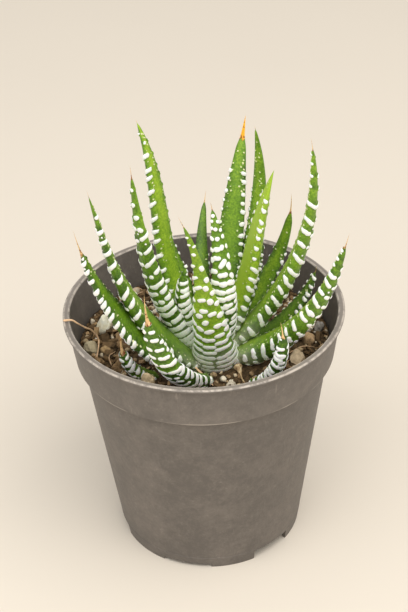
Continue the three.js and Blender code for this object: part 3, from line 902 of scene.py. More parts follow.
def swept(name, grid):
    """A closed form through a grid of points: rings from root to tip, the first and last a pole."""
    rings, sides = grid.shape[0] - 1, grid.shape[1]
    pick_none()
    bpy.ops.mesh.primitive_uv_sphere_add(segments=sides, ring_count=rings, radius=1)
    piece = added(name)
    sphere = points_of(piece)
    ring = np.rint(rings * np.arccos(np.clip(-sphere[:, 2], -1, 1)) / math.pi).astype(int)
    side = np.rint(sides * np.arctan2(sphere[:, 1], sphere[:, 0]) / (2 * math.pi)).astype(int) % sides
    move_points(piece, grid[ring, side])
    face_outwards(piece)
    return piece, ring, side


# Pot


def body_radius_at(settings, level):
    share = level / settings.ledge_height
    return settings.foot_radius + (settings.body_radius - settings.foot_radius) * share


def pot_profile(settings):
    """Radii and heights of the pot's wall, from under its floor round the lip to the floor's top."""
    foot, floor_top = settings.foot_height, settings.foot_height + settings.floor_thickness
    lip_under = settings.height - settings.lip_depth
    lip_inside = settings.lip_radius - settings.lip_width
    ledge = settings.ledge_height
    band_foot = settings.body_radius + settings.ledge_width
    outside = [(settings.foot_radius, 0.0), (body_radius_at(settings, foot) + 0.05 * MM, foot)]
    outside += [(body_radius_at(settings, foot) - 0.03 * MM, foot + 0.15 * MM)]
    levels = np.linspace(foot, ledge, 22)[1:]
    outside += [(body_radius_at(settings, level), level) for level in levels]
    outside += [(band_foot, ledge + BAND_CORNER)]
    band_out = settings.band_radius - band_foot
    band_rise = lip_under - ledge - BAND_CORNER
    band = np.linspace(0, 1, 7)[1:]
    outside += [(band_foot + band_out * k, ledge + BAND_CORNER + band_rise * k) for k in band]
    lip = [
        (settings.lip_radius - 0.1 * MM, lip_under + 0.1 * MM),
        (settings.lip_radius, lip_under + 0.45 * MM),
        (settings.lip_radius, settings.height - LIP_CORNER),
        (settings.lip_radius - LIP_CORNER, settings.height),
        (lip_inside + LIP_CORNER, settings.height),
        (lip_inside, settings.height - LIP_CORNER),
    ]
    inside = [
        (settings.band_radius - settings.wall, lip_under),
        (band_foot - settings.wall, ledge + 0.7 * MM),
        (settings.body_radius - settings.wall, ledge - 0.7 * MM),
        (body_radius_at(settings, floor_top) - settings.wall, floor_top),
        (0.0, floor_top),
    ]
    under = [
        (body_radius_at(settings, foot) - settings.wall, foot),
        (settings.foot_radius - settings.wall, 0.0),
    ]
    return under + outside + lip + inside


def foot_cutters(settings, count, first_bearing, width, height):
    """Boxes across the foot ring, for the notches in it."""
    boxes = []
    for k in range(count):
        turn = Matrix.Rotation(math.radians(first_bearing + 360 * k / count), 4, "Z")
        pick_none()
        bpy.ops.mesh.primitive_cube_add(size=1)
        box = added("foot_cutter")
        across = Matrix.Diagonal((NOTCH_REACH * MM, width * MM, 2 * height * MM, 1))
        box.data.transform(turn @ Matrix.Translation((settings.foot_radius - MM, 0, 0)) @ across)
        boxes.append(box)
    return boxes


def drain_cutters(settings):
    """Cylinders through the floor, for the holes that let water out."""
    cutters = []
    for k in range(DRAIN_COUNT):
        turn = Matrix.Rotation(math.radians(360 / DRAIN_COUNT * k), 4, "Z")
        pick_none()
        bpy.ops.mesh.primitive_cylinder_add(vertices=40, radius=DRAIN_RADIUS * MM, depth=6 * MM)
        drill = added("drain_cutter")
        drill.data.transform(turn @ Matrix.Translation((DRAIN_CIRCLE * MM, 0, settings.foot_height)))
        cutters.append(drill)
    return cutters


class HAWORTHIA_OT_pot(bpy.types.Operator):
    """Model the nursery pot: tapered wall, rim band, rolled lip, notched foot and drainage holes"""

    bl_idname = "haworthia.pot"
    bl_label = "Nursery pot"

    def execute(self, context):
        settings = context.scene.haworthia_pot
        pot = turned("nursery_pot", pot_profile(settings), POT_SIDES)
        lip_inside = settings.lip_radius - settings.lip_width
        sharp = [
            (settings.lip_radius - LIP_CORNER, settings.height),
            (settings.lip_radius, settings.height - LIP_CORNER),
            (lip_inside + LIP_CORNER, settings.height),
            (lip_inside, settings.height - LIP_CORNER),
            (settings.body_radius + settings.ledge_width, settings.ledge_height + BAND_CORNER),
            (settings.foot_radius, 0.0),
        ]
        round_rings(pot, sharp, EDGE_ROUNDING, 3)
        for notches in FOOT_NOTCHES:
            cut_away(pot, foot_cutters(settings, *notches))
        cut_away(pot, drain_cutters(settings))
        smooth_shaded(pot, math.radians(32))
        settled(pot, pot_finish(settings), "pot_plastic", "pot")
        return {"FINISHED"}


# Leaves


def leaf_line(leaf, s):
    """The leaf's middle line at the shares s of its length, with the directions along, in and across."""
    bearing = math.radians(leaf.bearing)
    lean = np.radians(leaf.lean_root + (leaf.lean_tip - leaf.lean_root) * s - 4 * leaf.bow * s * (1 - s))
    heading = bearing + np.radians(leaf.sway) * s
    along = np.stack([np.sin(lean) * np.cos(heading), np.sin(lean) * np.sin(heading), np.cos(lean)], -1)
    inwards = np.stack(
        [-np.cos(lean) * math.cos(bearing), -np.cos(lean) * math.sin(bearing), np.sin(lean)], -1
    )
    inwards -= (inwards * along).sum(-1, keepdims=True) * along
    inwards /= np.linalg.norm(inwards, axis=-1, keepdims=True)
    root = [CROWN[0] + leaf.out * math.cos(bearing), CROWN[1] + leaf.out * math.sin(bearing), leaf.height]
    steps = (along[1:] + along[:-1]) / 2 * leaf.length * np.diff(s)[:, None]
    points = np.vstack([root, root + np.cumsum(steps, 0)])
    sideways = np.cross(along, inwards)
    c, s = math.cos(math.radians(leaf.roll)), math.sin(math.radians(leaf.roll))
    return points, along, c * inwards + s * sideways, c * sideways - s * inwards


def leaf_outline(leaf, s):
    """How wide the leaf is at each share of its length, as a share of its full width."""
    root, reach = leaf.neck
    neck = root + (1 - root) * smooth(s, 0.3 * reach, reach)
    share = (1 - s**leaf.full) * neck * (1 - leaf.slim * smooth(s, 0.35, 0.75))
    if leaf.dry:
        withered = (s * leaf.length - leaf.length + leaf.dry) / leaf.dry
        share *= 1 - (0.7 - 0.3 * leaf.amber) * smooth(withered, -0.25, 0.35)
    rounding = np.clip(1 - s * leaf.length / LEAF_ROOT_ROUNDING, 0, 1)
    return share * np.sqrt(1 - rounding**2)


def leaf_section(leaf, step):
    """Directions across and through at each side of the section: inner face first, then the back."""
    half_width, depth = leaf.width / 2, leaf.thick * (1 - INNER_FACE_SHARE)
    back_arc = math.pi * math.sqrt((half_width**2 + depth**2) / 2)
    back = max(16, 2 * round(back_arc / step / 2))
    face = max(12, 2 * round(back * 0.22))
    angles = np.concatenate([np.linspace(0, math.pi, face, endpoint=False),
                             np.linspace(math.pi, 2 * math.pi, back, endpoint=False)])
    return np.cos(angles), np.sin(angles), face


def leaf_grid(leaf, step):
    """The leaf's skin by ring and side, each ring's share of the length, and how many sides face in."""
    rings = round(leaf.length / step)
    s = np.linspace(0, 1, rings + 1)
    points, _, inwards, sideways = leaf_line(leaf, s)
    across, through, face = leaf_section(leaf, step)
    share = leaf_outline(leaf, s)[:, None, None]
    edge = (0.5 - INNER_FACE_SHARE) * leaf.thick
    depth = leaf.thick * np.where(through > 0, INNER_FACE_SHARE, 1 - INNER_FACE_SHARE)
    grid = points[:, None] + share * (
        sideways[:, None] * (across * leaf.width / 2)[None, :, None]
        + inwards[:, None] * (edge + through * depth)[None, :, None]
    )
    return grid, s, face


def skin_places(grid, face):
    """For each point its distance from the middle of the back, signed, and each ring's half back."""
    sides = grid.shape[1]
    back = sides - face
    middle = face + back // 2
    walk = np.linalg.norm(grid - np.roll(grid, 1, axis=1), axis=2)
    x = np.zeros(grid.shape[:2])
    for k in range(1, back // 2 + face // 2 + 1):
        right = (middle + k) % sides
        x[:, right] = x[:, (middle + k - 1) % sides] + walk[:, right]
    for k in range(1, back // 2 + face // 2):
        left = middle - k
        x[:, left % sides] = x[:, (left + 1) % sides] - walk[:, (left + 1) % sides]
    return x, x[:, 0]


def row_spread(leaf, s):
    """How widely the rows are spaced at a share of the leaf's length: 0 at their closest, 1 at most."""
    return smooth(s, leaf.dense - 0.5, leaf.dense)


def pitch_at(leaf, spread):
    return CLOSE_PITCH + (leaf.pitch - CLOSE_PITCH) * spread


def row_places(leaf, dice):
    """Where rows of tubercles cross the leaf, in mm from its root: close at the root, then wide."""
    places = list(leaf.rows)
    known = [*leaf.rows, *(height for height, *_ in leaf.marks)]
    y = min(known) if known else leaf.length - leaf.dry + 0.6 * leaf.pitch
    while y > 1.5:
        y -= pitch_at(leaf, row_spread(leaf, y / leaf.length)) * dice.uniform(0.88, 1.12)
        places.append(float(y))
    return np.array(places[::-1])


def row_bend(x, half, spread):
    """How far a row climbs towards the tip at a distance x from the middle of the back."""
    return (0.14 + 0.34 * spread) * half * np.minimum(1, np.abs(x) / half) ** 2.4


def stroke_line(start, end, y, half, spread, dice):
    """One tubercle as a lumpy line of points and radii, from start to end across the leaf."""
    count = max(2, 1 + round((end - start) / 0.6))
    x = np.linspace(start, end, count)
    tilt = dice.normal(0, 0.12) * (0.3 + spread)
    wave = dice.normal(0, 0.1, count) * (0.5 + 0.5 * spread)
    line = y + row_bend(x, half, spread) + tilt * (x - x.mean()) + wave
    return np.stack([x, line], -1), dice.uniform(0.82, 1.14, count)


def row_ends(half, reach, beaded, radius, spread, dice):
    """Where the strokes of one row start and end: beads near the tip, long strokes near the root."""
    left, right = reach
    if half < BEADED_HALF_WIDTH or beaded:
        count = 1 if half < 1.1 else 2 if half < 2.2 else 3
        if count == 1:
            middles = np.linspace(-0.9 * left, 0.9 * right, 3)[1:-1]
        else:
            middles = np.linspace(-left, right, count)
        middles = middles + dice.uniform(-0.15, 0.15, count)
        lengths = dice.uniform(0.02, 0.3, count)
        return [(m - size, m + size) for m, size in zip(middles, lengths)]
    width = dice.uniform(2, 3.4) if spread > 0.4 else dice.uniform(3, 6)
    count = max(2, round((left + right) / width))
    edges = np.linspace(-left, right, count + 1)
    edges[1:-1] += dice.uniform(-0.5, 0.5, count - 1)
    gaps = radius * dice.uniform(1, 1.5, count + 1)
    gaps[dice.random(count + 1) < 0.2 + 0.35 * (1 - spread)] = -0.1
    gaps[[0, -1]] = 0
    ends = [(a + ga, b - gb) for a, b, ga, gb in zip(edges, edges[1:], gaps, gaps[1:])]
    return [(min(a, b), max(a, b)) for a, b in ends]


def row_strokes(leaf, y, half, spread, radius, dice):
    """One row of tubercles, as strokes across the leaf that run on over its edges."""
    reach = [max(0.3 * half, half + wrap) for wrap in leaf.wrap]
    ends = row_ends(half, reach, y > leaf.length * (1 - leaf.beads), radius, spread, dice)
    strokes = []
    for start, end in ends:
        height = y + dice.normal(0, 0.22) * (0.4 + spread)
        strokes.append(stroke_line(start, end, height, half, spread, dice))
    return strokes


def mark_line(mark, dice):
    """A single tubercle as a lumpy line of points and radii: round if it is short."""
    height, across, length, rise = mark
    count = max(2, 1 + round(length / 0.55))
    share = np.linspace(-0.5, 0.5, count)
    x = across + max(length, 0.04) * share
    y = height + rise * share + dice.normal(0, 0.07, count)
    swell = 1.3 - 0.2 * min(1, length / 1.5)
    return np.stack([x, y], -1), swell * dice.uniform(0.86, 1.12, count)


def between_rows(y, rows):
    """How far each place lies from the row below it to the row above it, from 0 to 1."""
    bounds = np.concatenate([[rows[0] - 2], rows, [rows[-1] + 3]])
    k = np.clip(np.searchsorted(bounds, y) - 1, 0, len(bounds) - 2)
    return np.clip((y - bounds[k]) / (bounds[k + 1] - bounds[k]), 0, 1)


class Relief:
    """The tubercles of one leaf, drawn stroke by stroke onto its grid of points."""

    def __init__(self, x, y, half):
        self.x, self.y, self.half = x, y, half
        self.mask = np.zeros(x.shape)
        self.height = np.zeros(x.shape)
        self.cream = np.zeros(x.shape)

    def half_at(self, height):
        """Half the width of the leaf's back at that height."""
        return float(np.interp(height, self.y, self.half))

    def draw(self, line, radii, height=1.0, cream=0.0):
        """Raises the skin along a line of points whose radii are given."""
        reach = 1.3 * radii.max() + TUBERCLE_EDGE
        low, high = line[:, 1].min() - reach, line[:, 1].max() + reach
        rows = slice(np.searchsorted(self.y, low), np.searchsorted(self.y, high))
        x, y = self.x[rows], self.y[rows, None]
        inside = np.full(x.shape, -9.0)
        for (ax, ay), (bx, by), ra, rb in zip(line, line[1:], radii, radii[1:]):
            length = (bx - ax) ** 2 + (by - ay) ** 2 + 1e-9
            t = np.clip(((x - ax) * (bx - ax) + (y - ay) * (by - ay)) / length, 0, 1)
            distance = np.hypot(x - ax - t * (bx - ax), y - ay - t * (by - ay))
            inside = np.maximum(inside, ra + (rb - ra) * t - distance)
        mask = np.clip(0.5 + inside / TUBERCLE_EDGE, 0, 1)
        radius = radii.mean()
        dome = height * np.sqrt(np.clip(1 - ((radius - inside) / (1.25 * radius)) ** 2, 0, 1))
        self.cream[rows] = np.where(mask > self.mask[rows], cream, self.cream[rows])
        self.mask[rows] = np.maximum(self.mask[rows], mask)
        self.height[rows] = np.maximum(self.height[rows], dome)

    def dot(self, x, y, radius, height, cream=0.0):
        self.draw(np.array([[x, y], [x + 0.05, y + 0.05]]), np.array([radius, radius]), height, cream)


def grow_marks(leaf, relief, width, dice):
    """The leaf's single tubercles."""
    for mark in leaf.marks:
        half = relief.half_at(mark[0])
        line, lumps = mark_line(mark, dice)
        relief.draw(line, width / 2 * min(1.25, 0.36 + 0.18 * half) * lumps)


def grow_rows(leaf, relief, rows, width, dice):
    """Rows of tubercles over the leaf's back and edges, and here and there a small dot between two."""
    for place in rows:
        spread = float(row_spread(leaf, place / leaf.length))
        half = relief.half_at(place)
        radius = width / 2 * (0.68 + 0.32 * min(1, half / 2.6)) * (1.5 - 0.5 * spread)
        radius = min(radius, 0.39 * pitch_at(leaf, spread))
        for line, lumps in row_strokes(leaf, place, half, spread, radius, dice):
            relief.draw(line, radius * lumps, height=0.6 + 0.4 * spread)
        if dice.random() < 0.45 * spread and half > 1.6:
            side = dice.uniform(-0.8, 0.8) * half
            above = place + leaf.pitch * 0.5 + row_bend(side, half, spread)
            relief.dot(side, above, dice.uniform(0.22, 0.36), 0.6)


def grow_specks(leaf, relief, dice):
    """Cream specks on the leaf's inner face, along both its edges."""
    for edge in (-1, 1):
        for place in np.arange(SPECK_START, leaf.length - leaf.dry - 2, SPECK_STEP):
            half = relief.half_at(place)
            if dice.random() < leaf.specks:
                side = edge * (half + dice.uniform(0.5, 0.6 + 0.35 * half))
                size = dice.uniform(0.16, 0.3)
                relief.dot(side, place + dice.uniform(-0.4, 0.4), size, 0.5, cream=1.0)


def leaf_blade(leaf, number, settings):
    """One leaf: a skin of rings and sides, raised where its tubercles are."""
    dice = np.random.default_rng(LEAF_SEED + number)
    step = settings.mesh_step / MM
    grid, s, face = leaf_grid(leaf, step)
    x, half = skin_places(grid, face)
    y = s * leaf.length
    width = settings.tubercle_width / MM
    relief = Relief(x, y, half)
    rows = row_places(leaf, dice)
    grow_marks(leaf, relief, width, dice)
    grow_rows(leaf, relief, rows, width, dice)
    grow_specks(leaf, relief, dice)
    blade, ring, side = swept(f"leaf_blade_{number:02d}", grid * MM)
    inner = np.clip((np.abs(x) - half[:, None]) / (0.6 * half[:, None] + 0.01), 0, 1)
    spread = row_spread(leaf, s)[:, None]
    level = y[:, None] - row_bend(x, half[:, None] + 0.01, spread)
    wobble = 0.5 * np.sin(2.1 * x + number) * np.sin(0.9 * y[:, None])
    dry = smooth(y[:, None] + wobble, leaf.length - leaf.dry - 0.3, leaf.length - leaf.dry + 2.2)
    dry = dry if leaf.dry else 0 * dry
    paint(blade, "tubercle", relief.mask[ring, side])
    paint(blade, "cream", relief.cream[ring, side])
    paint(blade, "along", s[ring])
    paint(blade, "inner", inner[ring, side])
    paint(blade, "between", between_rows(level, rows)[ring, side])
    paint(blade, "dry", dry[ring, side])
    # Each leaf's tint, which also carries painted light and painted shade for how brightly it is lit
    paint(blade, "glow", np.full(len(ring), leaf.glow))
    paint(blade, "amber", np.full(len(ring), leaf.amber))
    heights = relief.height[ring, side]
    group = blade.vertex_groups.new(name="tubercles")
    for index in np.flatnonzero(heights > 0.01):
        group.add([int(index)], float(heights[index]), "REPLACE")
    raise_them = blade.modifiers.new("raise tubercles", "DISPLACE")
    raise_them.vertex_group = group.name
    raise_them.strength = settings.tubercle_height
    raise_them.mid_level = 0
    finish_modifiers(blade)
    blade.vertex_groups.clear()
    smooth_shaded(blade)
    return blade


class HAWORTHIA_OT_leaves(bpy.types.Operator):
    """Grow the leaves of the rosette, each with its rows of white tubercles"""

    bl_idname = "haworthia.leaves"
    bl_label = "Leaves"

    def execute(self, context):
        settings = context.scene.haworthia_leaf
        finish = leaf_finish(settings)
        for number, leaf in enumerate(LEAVES, 1):
            blade = leaf_blade(leaf, number, settings)
            settled(blade, finish, "leaf", f"leaf_{number:02d}")
        return {"FINISHED"}


class HAWORTHIA_OT_stem(bpy.types.Operator):
    """Model the rootstock that carries the leaves"""

    bl_idname = "haworthia.stem"
    bl_label = "Rootstock"

    def execute(self, context):
        profile = [(radius * MM, level * MM) for radius, level in STEM_RINGS]
        stem = turned("rootstock", [*profile, (0.0, STEM_TOP * MM)], STEM_SIDES)
        places = points_of(stem)
        for point in places:
            lump = noise.noise(Vector(point) * 400)
            point[:2] *= 1 + 0.06 * lump
        move_points(stem, places + [CROWN[0] * MM, CROWN[1] * MM, 0])
        smooth_shaded(stem)
        leaf_settings, mix_settings = context.scene.haworthia_leaf, context.scene.haworthia_mix
        settled(stem, stem_finish(leaf_settings, mix_settings), "stem", "stem")
        return {"FINISHED"}


# Potting mix


def mix_height(x, y):
    """Height of the mix at a place, all in millimetres: a hollow round the crown, gently uneven."""
    from_crown = np.hypot(x - CROWN[0], y - CROWN[1]) / NECK_HOLLOW_RADIUS
    hollow = NECK_HOLLOW_DEPTH * np.exp(-from_crown * from_crown)
    uneven = np.sin(0.31 * x + 1.3) * np.cos(0.27 * y) + 0.6 * np.sin(0.5 * y - 0.4 * x)
    return MIX_LEVEL - hollow + MIX_UNEVENNESS * uneven


def mix_bed(pot):
    """The body of the mix, which fills the pot, with a crumbly top."""
    floor_top = pot.foot_height + pot.floor_thickness
    inside = pot.wall + MIX_WALL_GAP
    top = pot.body_radius + pot.ledge_width - inside
    level = MIX_LEVEL * MM
    profile = [(body_radius_at(pot, floor_top) - inside, floor_top + MIX_FLOOR_GAP)]
    profile += [(pot.body_radius - inside, pot.ledge_height - 0.4 * MM), (top, pot.ledge_height + MM)]
    profile += [(top * (1 - k / MIX_RINGS), level) for k in range(MIX_RINGS)]
    bed = turned("mix_bed", [*profile, (0.0, level)], MIX_SIDES)
    places = points_of(bed)
    surface = places[:, 2] > level - SAME_HEIGHT
    heights = mix_height(places[:, 0] / MM, places[:, 1] / MM)
    for k in np.flatnonzero(surface):
        spot = Vector((places[k, 0], places[k, 1], 0))
        crumbs = 0.55 * noise.fractal(spot * 420, 0.7, 2.1, 4)
        lumps = 0.45 * noise.noise(spot * 160)
        places[k, 2] = (heights[k] + crumbs + lumps - 0.2) * MM
    move_points(bed, places)
    smooth_shaded(bed)
    return bed


def leaf_footprint():
    """Where leaves and stones lie in or on the mix: places and half widths in millimetres."""
    spots = []
    for leaf in LEAVES:
        s = np.linspace(0, 1, 60)
        points = leaf_line(leaf, s)[0]
        reach = leaf_outline(leaf, s) * leaf.width / 2
        under = points[:, 2] - leaf.thick * 0.5
        close = (under < mix_height(points[:, 0], points[:, 1]) + 2.6) & (points[:, 2] > MIX_LEVEL - 4)
        spots += [(*p[:2], r) for p, r in zip(points[close], reach[close])]
    spots += [(stone.x, stone.y, 0.45 * stone.wide) for stone in STONES]
    return np.array(spots)


def free_places(count, size, rim, dice, footprint):
    """Random places on the mix for grains of that size which meet no leaf, no stone and no wall."""
    places = []
    while len(places) < count:
        radius = (rim - size / 2) * math.sqrt(dice.random())
        turn = dice.uniform(0, 2 * math.pi)
        x, y = radius * math.cos(turn), radius * math.sin(turn)
        away = np.hypot(footprint[:, 0] - x, footprint[:, 1] - y) - footprint[:, 2]
        if away.min() > 0.35 * size:
            places.append((x, y))
    return places


def facet(places, count, depth, dice):
    """Flattens a rounded form against that many random planes, as if chips had broken off."""
    for _ in range(count):
        normal = dice.normal(size=3)
        normal /= np.linalg.norm(normal)
        height = places @ normal
        limit = height.max() * (1 - depth * dice.uniform(0.4, 1))
        places = places - np.clip(height - limit, 0, None)[:, None] * normal * 0.92
    return places


def chip_shape(seed):
    """A splinter of bark: a box with bevelled edges, pushed out of true."""
    pick_none()
    bpy.ops.mesh.primitive_cube_add(size=1)
    chip = added("chip")
    bpy.ops.object.mode_set(mode="EDIT")
    bpy.ops.transform.resize(value=(1, 0.62, 0.34))
    bpy.ops.mesh.bevel(offset=0.09, segments=1, affect="EDGES")
    bpy.ops.object.mode_set(mode="OBJECT")
    dice = np.random.default_rng(seed)
    places = points_of(chip)
    taper = 1 - 0.35 * dice.random() * (places[:, :1] + 0.5)
    places[:, 1:] *= taper
    places += dice.normal(0, 0.045, places.shape)
    move_points(chip, places)
    return chip


def crumb_shape(seed):
    """An angular crumb: a coarse ball with flats, pushed out of round."""
    pick_none()
    bpy.ops.mesh.primitive_uv_sphere_add(segments=8, ring_count=6, radius=0.5)
    crumb = added("crumb")
    dice = np.random.default_rng(seed)
    places = points_of(crumb)
    places *= dice.uniform(0.7, 1.2, 3)
    places = facet(places, 6, 0.5, dice)
    places += dice.normal(0, 0.035, places.shape)
    move_points(crumb, places)
    return crumb


def joined(pieces, name):
    pick_none()
    for piece in pieces:
        piece.select_set(True)
    bpy.context.view_layer.objects.active = pieces[0]
    bpy.ops.object.join()
    return added(name)


def strewn(name, shapes, rows, smooth_faces):
    """Copies of the shapes, each with its own mesh, joined into one piece.

    Each row has a place, a size, a turn and a tone.
    """
    copies = []
    for k, (place, size, turn, tone) in enumerate(rows):
        shape = shapes[k % len(shapes)]
        copy = bpy.data.objects.new(f"{name}_{k}", shape.data.copy())
        bpy.context.collection.objects.link(copy)
        copy.data.transform(Matrix.Translation(place) @ turn.to_4x4() @ Matrix.Diagonal((*size, 1)))
        paint(copy, "tone", np.full(len(copy.data.vertices), tone))
        copies.append(copy)
    for shape in shapes:
        bpy.data.objects.remove(shape)
    piece = joined(copies, name)
    if smooth_faces:
        smooth_shaded(piece)
    return piece


def random_turn(dice, flat):
    """A turn about +Z with a lean of up to flat degrees."""
    lean = math.radians(flat)
    first, second = dice.uniform(-lean, lean), dice.uniform(-lean, lean)
    return Euler((first, second, dice.uniform(0, 2 * math.pi))).to_matrix()


def grain_rows(count, kind, rim, dice, footprint):
    """Places, sizes, turns and tones of loose grains; small ones are the most common."""
    rows = []
    for _ in range(count):
        size = kind.smallest + (kind.largest - kind.smallest) * dice.random() ** 2.2
        [(x, y)] = free_places(1, size, rim, dice, footprint)
        level = float(mix_height(x, y)) + size * GRAIN_RISE
        scale = size * dice.uniform(0.8, 1.2, 3) * MM
        turn = random_turn(dice, kind.lean)
        rows.append(((x * MM, y * MM, level * MM), scale, turn, dice.beta(*kind.tones)))
    return rows


def bit_row(x, y, size, tone, dice):
    """Place, size, turn and tone of one loose bit."""
    level = float(mix_height(x, y)) + BIT_RISE * size
    scale = size * dice.uniform(0.85, 1.3, 3) * MM
    return (x * MM, y * MM, level * MM), scale, random_turn(dice, BIT_LEAN), tone


def fibre(number, x, y, dice):
    """A thin curved root fibre that lies on the mix."""
    steps = 14
    s = np.linspace(0, 1, steps + 1)
    length, turn, curl = dice.uniform(5, 13), dice.uniform(0, 6.3), dice.normal(0, 1.6)
    heading = turn + curl * s + 0.5 * np.sin(7 * s + number)
    step = length / steps
    xs = x + np.cumsum(np.cos(heading)) * step
    ys = y + np.cumsum(np.sin(heading)) * step
    inside = np.minimum(1, FIBRE_REACH / np.hypot(xs, ys))
    xs, ys = xs * inside, ys * inside
    arch = dice.uniform(0.4, 2.2)
    zs = mix_height(xs, ys) + 0.5 + arch * np.sin(math.pi * s)
    line = np.stack([xs, ys, zs], -1)
    radius = dice.uniform(0.1, 0.2) * (1 - 0.6 * s)
    return round_tube(f"fibre_{number}", line, radius, 5)


def round_tube(name, line, radius, sides):
    """A round tube of those radii along a line in millimetres, with closed ends."""
    along = np.gradient(line, axis=0)
    along /= np.linalg.norm(along, axis=1, keepdims=True)
    up = np.cross(along, [0.3, 0.9, 0.3])
    up /= np.linalg.norm(up, axis=1, keepdims=True)
    across = np.cross(along, up)
    angle = np.linspace(0, 2 * math.pi, sides, endpoint=False)
    radius = radius.copy()
    radius[0] = radius[-1] = 0
    ring = np.cos(angle)[None, :, None] * up[:, None] + np.sin(angle)[None, :, None] * across[:, None]
    return swept(name, (line[:, None] + radius[:, None, None] * ring) * MM)[0]


class HAWORTHIA_OT_mix(bpy.types.Operator):
    """Fill the pot with potting mix and strew bark, crumbs, grit and fibres over it"""

    bl_idname = "haworthia.mix"
    bl_label = "Potting mix"

    def execute(self, context):
        settings, pot = context.scene.haworthia_mix, context.scene.haworthia_pot
        settled(mix_bed(pot), earth_finish(settings), "potting_mix", "potting_mix")
        dice = np.random.default_rng(MIX_SEED)
        rim = (pot.body_radius + pot.ledge_width - pot.wall) / MM - 0.3
        footprint = leaf_footprint()
        bark = bark_finish(settings)
        chips = grain_rows(settings.chips, BARK_CHIPS, rim, dice, footprint)
        chip_shapes = [chip_shape(CHIP_SEED + k) for k in range(6)]
        settled(strewn("bark_chips", chip_shapes, chips, False), bark, "potting_mix")
        crumbs = grain_rows(settings.crumbs, EARTH_CRUMBS, rim, dice, footprint)
        crumb_shapes = [crumb_shape(CRUMB_SEED + k) for k in range(5)]
        settled(strewn("earth_crumbs", crumb_shapes, crumbs, True), bark, "potting_mix")
        grit = grain_rows(settings.grit, GRIT_GRAINS, rim, dice, footprint)
        grit += [bit_row(*bit, dice) for bit in LOOSE_BITS]
        grit_shapes = [crumb_shape(GRIT_SEED + k) for k in range(5)]
        settled(strewn("grit_grains", grit_shapes, grit, True), grit_finish(settings), "gravel")
        starts = free_places(settings.fibres, 1, rim - 5, dice, footprint)
        strip = smooth_route(STRIP_ROUTE, 40)
        width = 0.34 * np.sin(np.linspace(0.25, 2.6, len(strip)))
        strands = [fibre(k, x, y, dice) for k, (x, y) in enumerate(starts)]
        fibres = joined([*strands, round_tube("dry_strip", strip, width, 8)], "root_fibres")
        smooth_shaded(fibres)
        settled(fibres, dry_root_finish(settings), "dry_root")
        return {"FINISHED"}


def stone_places(ball, stone, k):
    """The points of a ball as those of a stone in its place: lumpy, chipped and rough."""
    x, y, z = ball.T
    lump = 1 + 0.1 * np.sin(3 * x + 5 * y + k) + 0.08 * np.cos(6 * z - 2 * x + 2 * k)
    rough = [noise.fractal(Vector(p) * 2.3 + Vector((k, 0, 0)), 0.9, 2.2, 5) for p in ball]
    dice = np.random.default_rng(STONE_SEED + k)
    places = facet(ball * lump[:, None], stone.flats, 0.3, dice)
    places = places * (1 + 0.035 * np.array(rough))[:, None]
    places = places * np.array([stone.wide, stone.deep, stone.high]) * STONE_SWELL / 2
    turn = np.array(Matrix.Rotation(math.radians(stone.turn), 3, "Z"))
    lift = float(mix_height(stone.x, stone.y)) + stone.high * (0.5 - STONE_SINK)
    return (places @ turn.T + [stone.x, stone.y, lift]) * MM


class HAWORTHIA_OT_stones(bpy.types.Operator):
    """Lay the larger stones on the mix"""

    bl_idname = "haworthia.stones"
    bl_label = "Stones"

    def execute(self, context):
        settings = context.scene.haworthia_mix
        for number, stone in enumerate(STONES, 1):
            pick_none()
            bpy.ops.mesh.primitive_ico_sphere_add(subdivisions=5, radius=1)
            piece = added(f"stone_{number}")
            move_points(piece, stone_places(points_of(piece), stone, number - 1))
            smooth_shaded(piece)
            finish = stone_finish(f"stone_{number}_surface", linear(stone.colour), settings)
            settled(piece, finish, stone.slot, f"pebble_{number}")
        return {"FINISHED"}


def smooth_route(points, steps):
    """A smooth line through the points, as a Catmull-Rom curve."""
    points = np.array(points, float)
    padded = np.vstack([2 * points[0] - points[1], points, 2 * points[-1] - points[-2]])
    line = []
    for t in np.linspace(0, len(points) - 1, steps + 1):
        k = min(int(t), len(points) - 2)
        u = t - k
        a, b, c, d = padded[k : k + 4]
        straight = (c - a) * u
        square = (2 * a - 5 * b + 4 * c - d) * u**2
        cube = (3 * b - a - 3 * c + d) * u**3
        line.append(0.5 * (2 * b + straight + square + cube))
    return np.array(line)


class HAWORTHIA_OT_rootlet(bpy.types.Operator):
    """Hang the dried rootlet over the rim"""

    bl_idname = "haworthia.rootlet"
    bl_label = "Dried rootlet"

    def execute(self, context):
        line = smooth_route(ROOTLET_ROUTE, 90)
        s = np.linspace(0, 1, len(line))
        radius = 0.3 - 0.08 * s + 0.05 * np.sin(31 * s) * np.sin(12 * s + 1)
        root = round_tube("dried_rootlet", line, radius, 12)
        smooth_shaded(root)
        settled(root, dry_root_finish(context.scene.haworthia_mix), "dry_root", "rootlet")
        return {"FINISHED"}


class HAWORTHIA_OT_stub(bpy.types.Operator):
    """Lay the shrivelled stub of a shed leaf in front of the crown"""

    bl_idname = "haworthia.stub"
    bl_label = "Leaf stub"

    def execute(self, context):
        route = [(x, y, float(mix_height(x, y)) + STUB_LIFT) for x, y in STUB_ROUTE]
        line = smooth_route(route, 60)
        s = np.linspace(0, 1, len(line))
        radius = (1.05 * (1 - smooth(s, 0, 0.45)) + 0.24) * np.sqrt(np.clip(s / 0.06, 0, 1))
        radius *= 1 + 0.12 * np.sin(26 * s)
        stub = round_tube("shed_leaf_stub", line, radius, 16)
        smooth_shaded(stub)
        settled(stub, dry_leaf_finish(), "dry_leaf", "leaf_stub")
        return {"FINISHED"}


# Stage


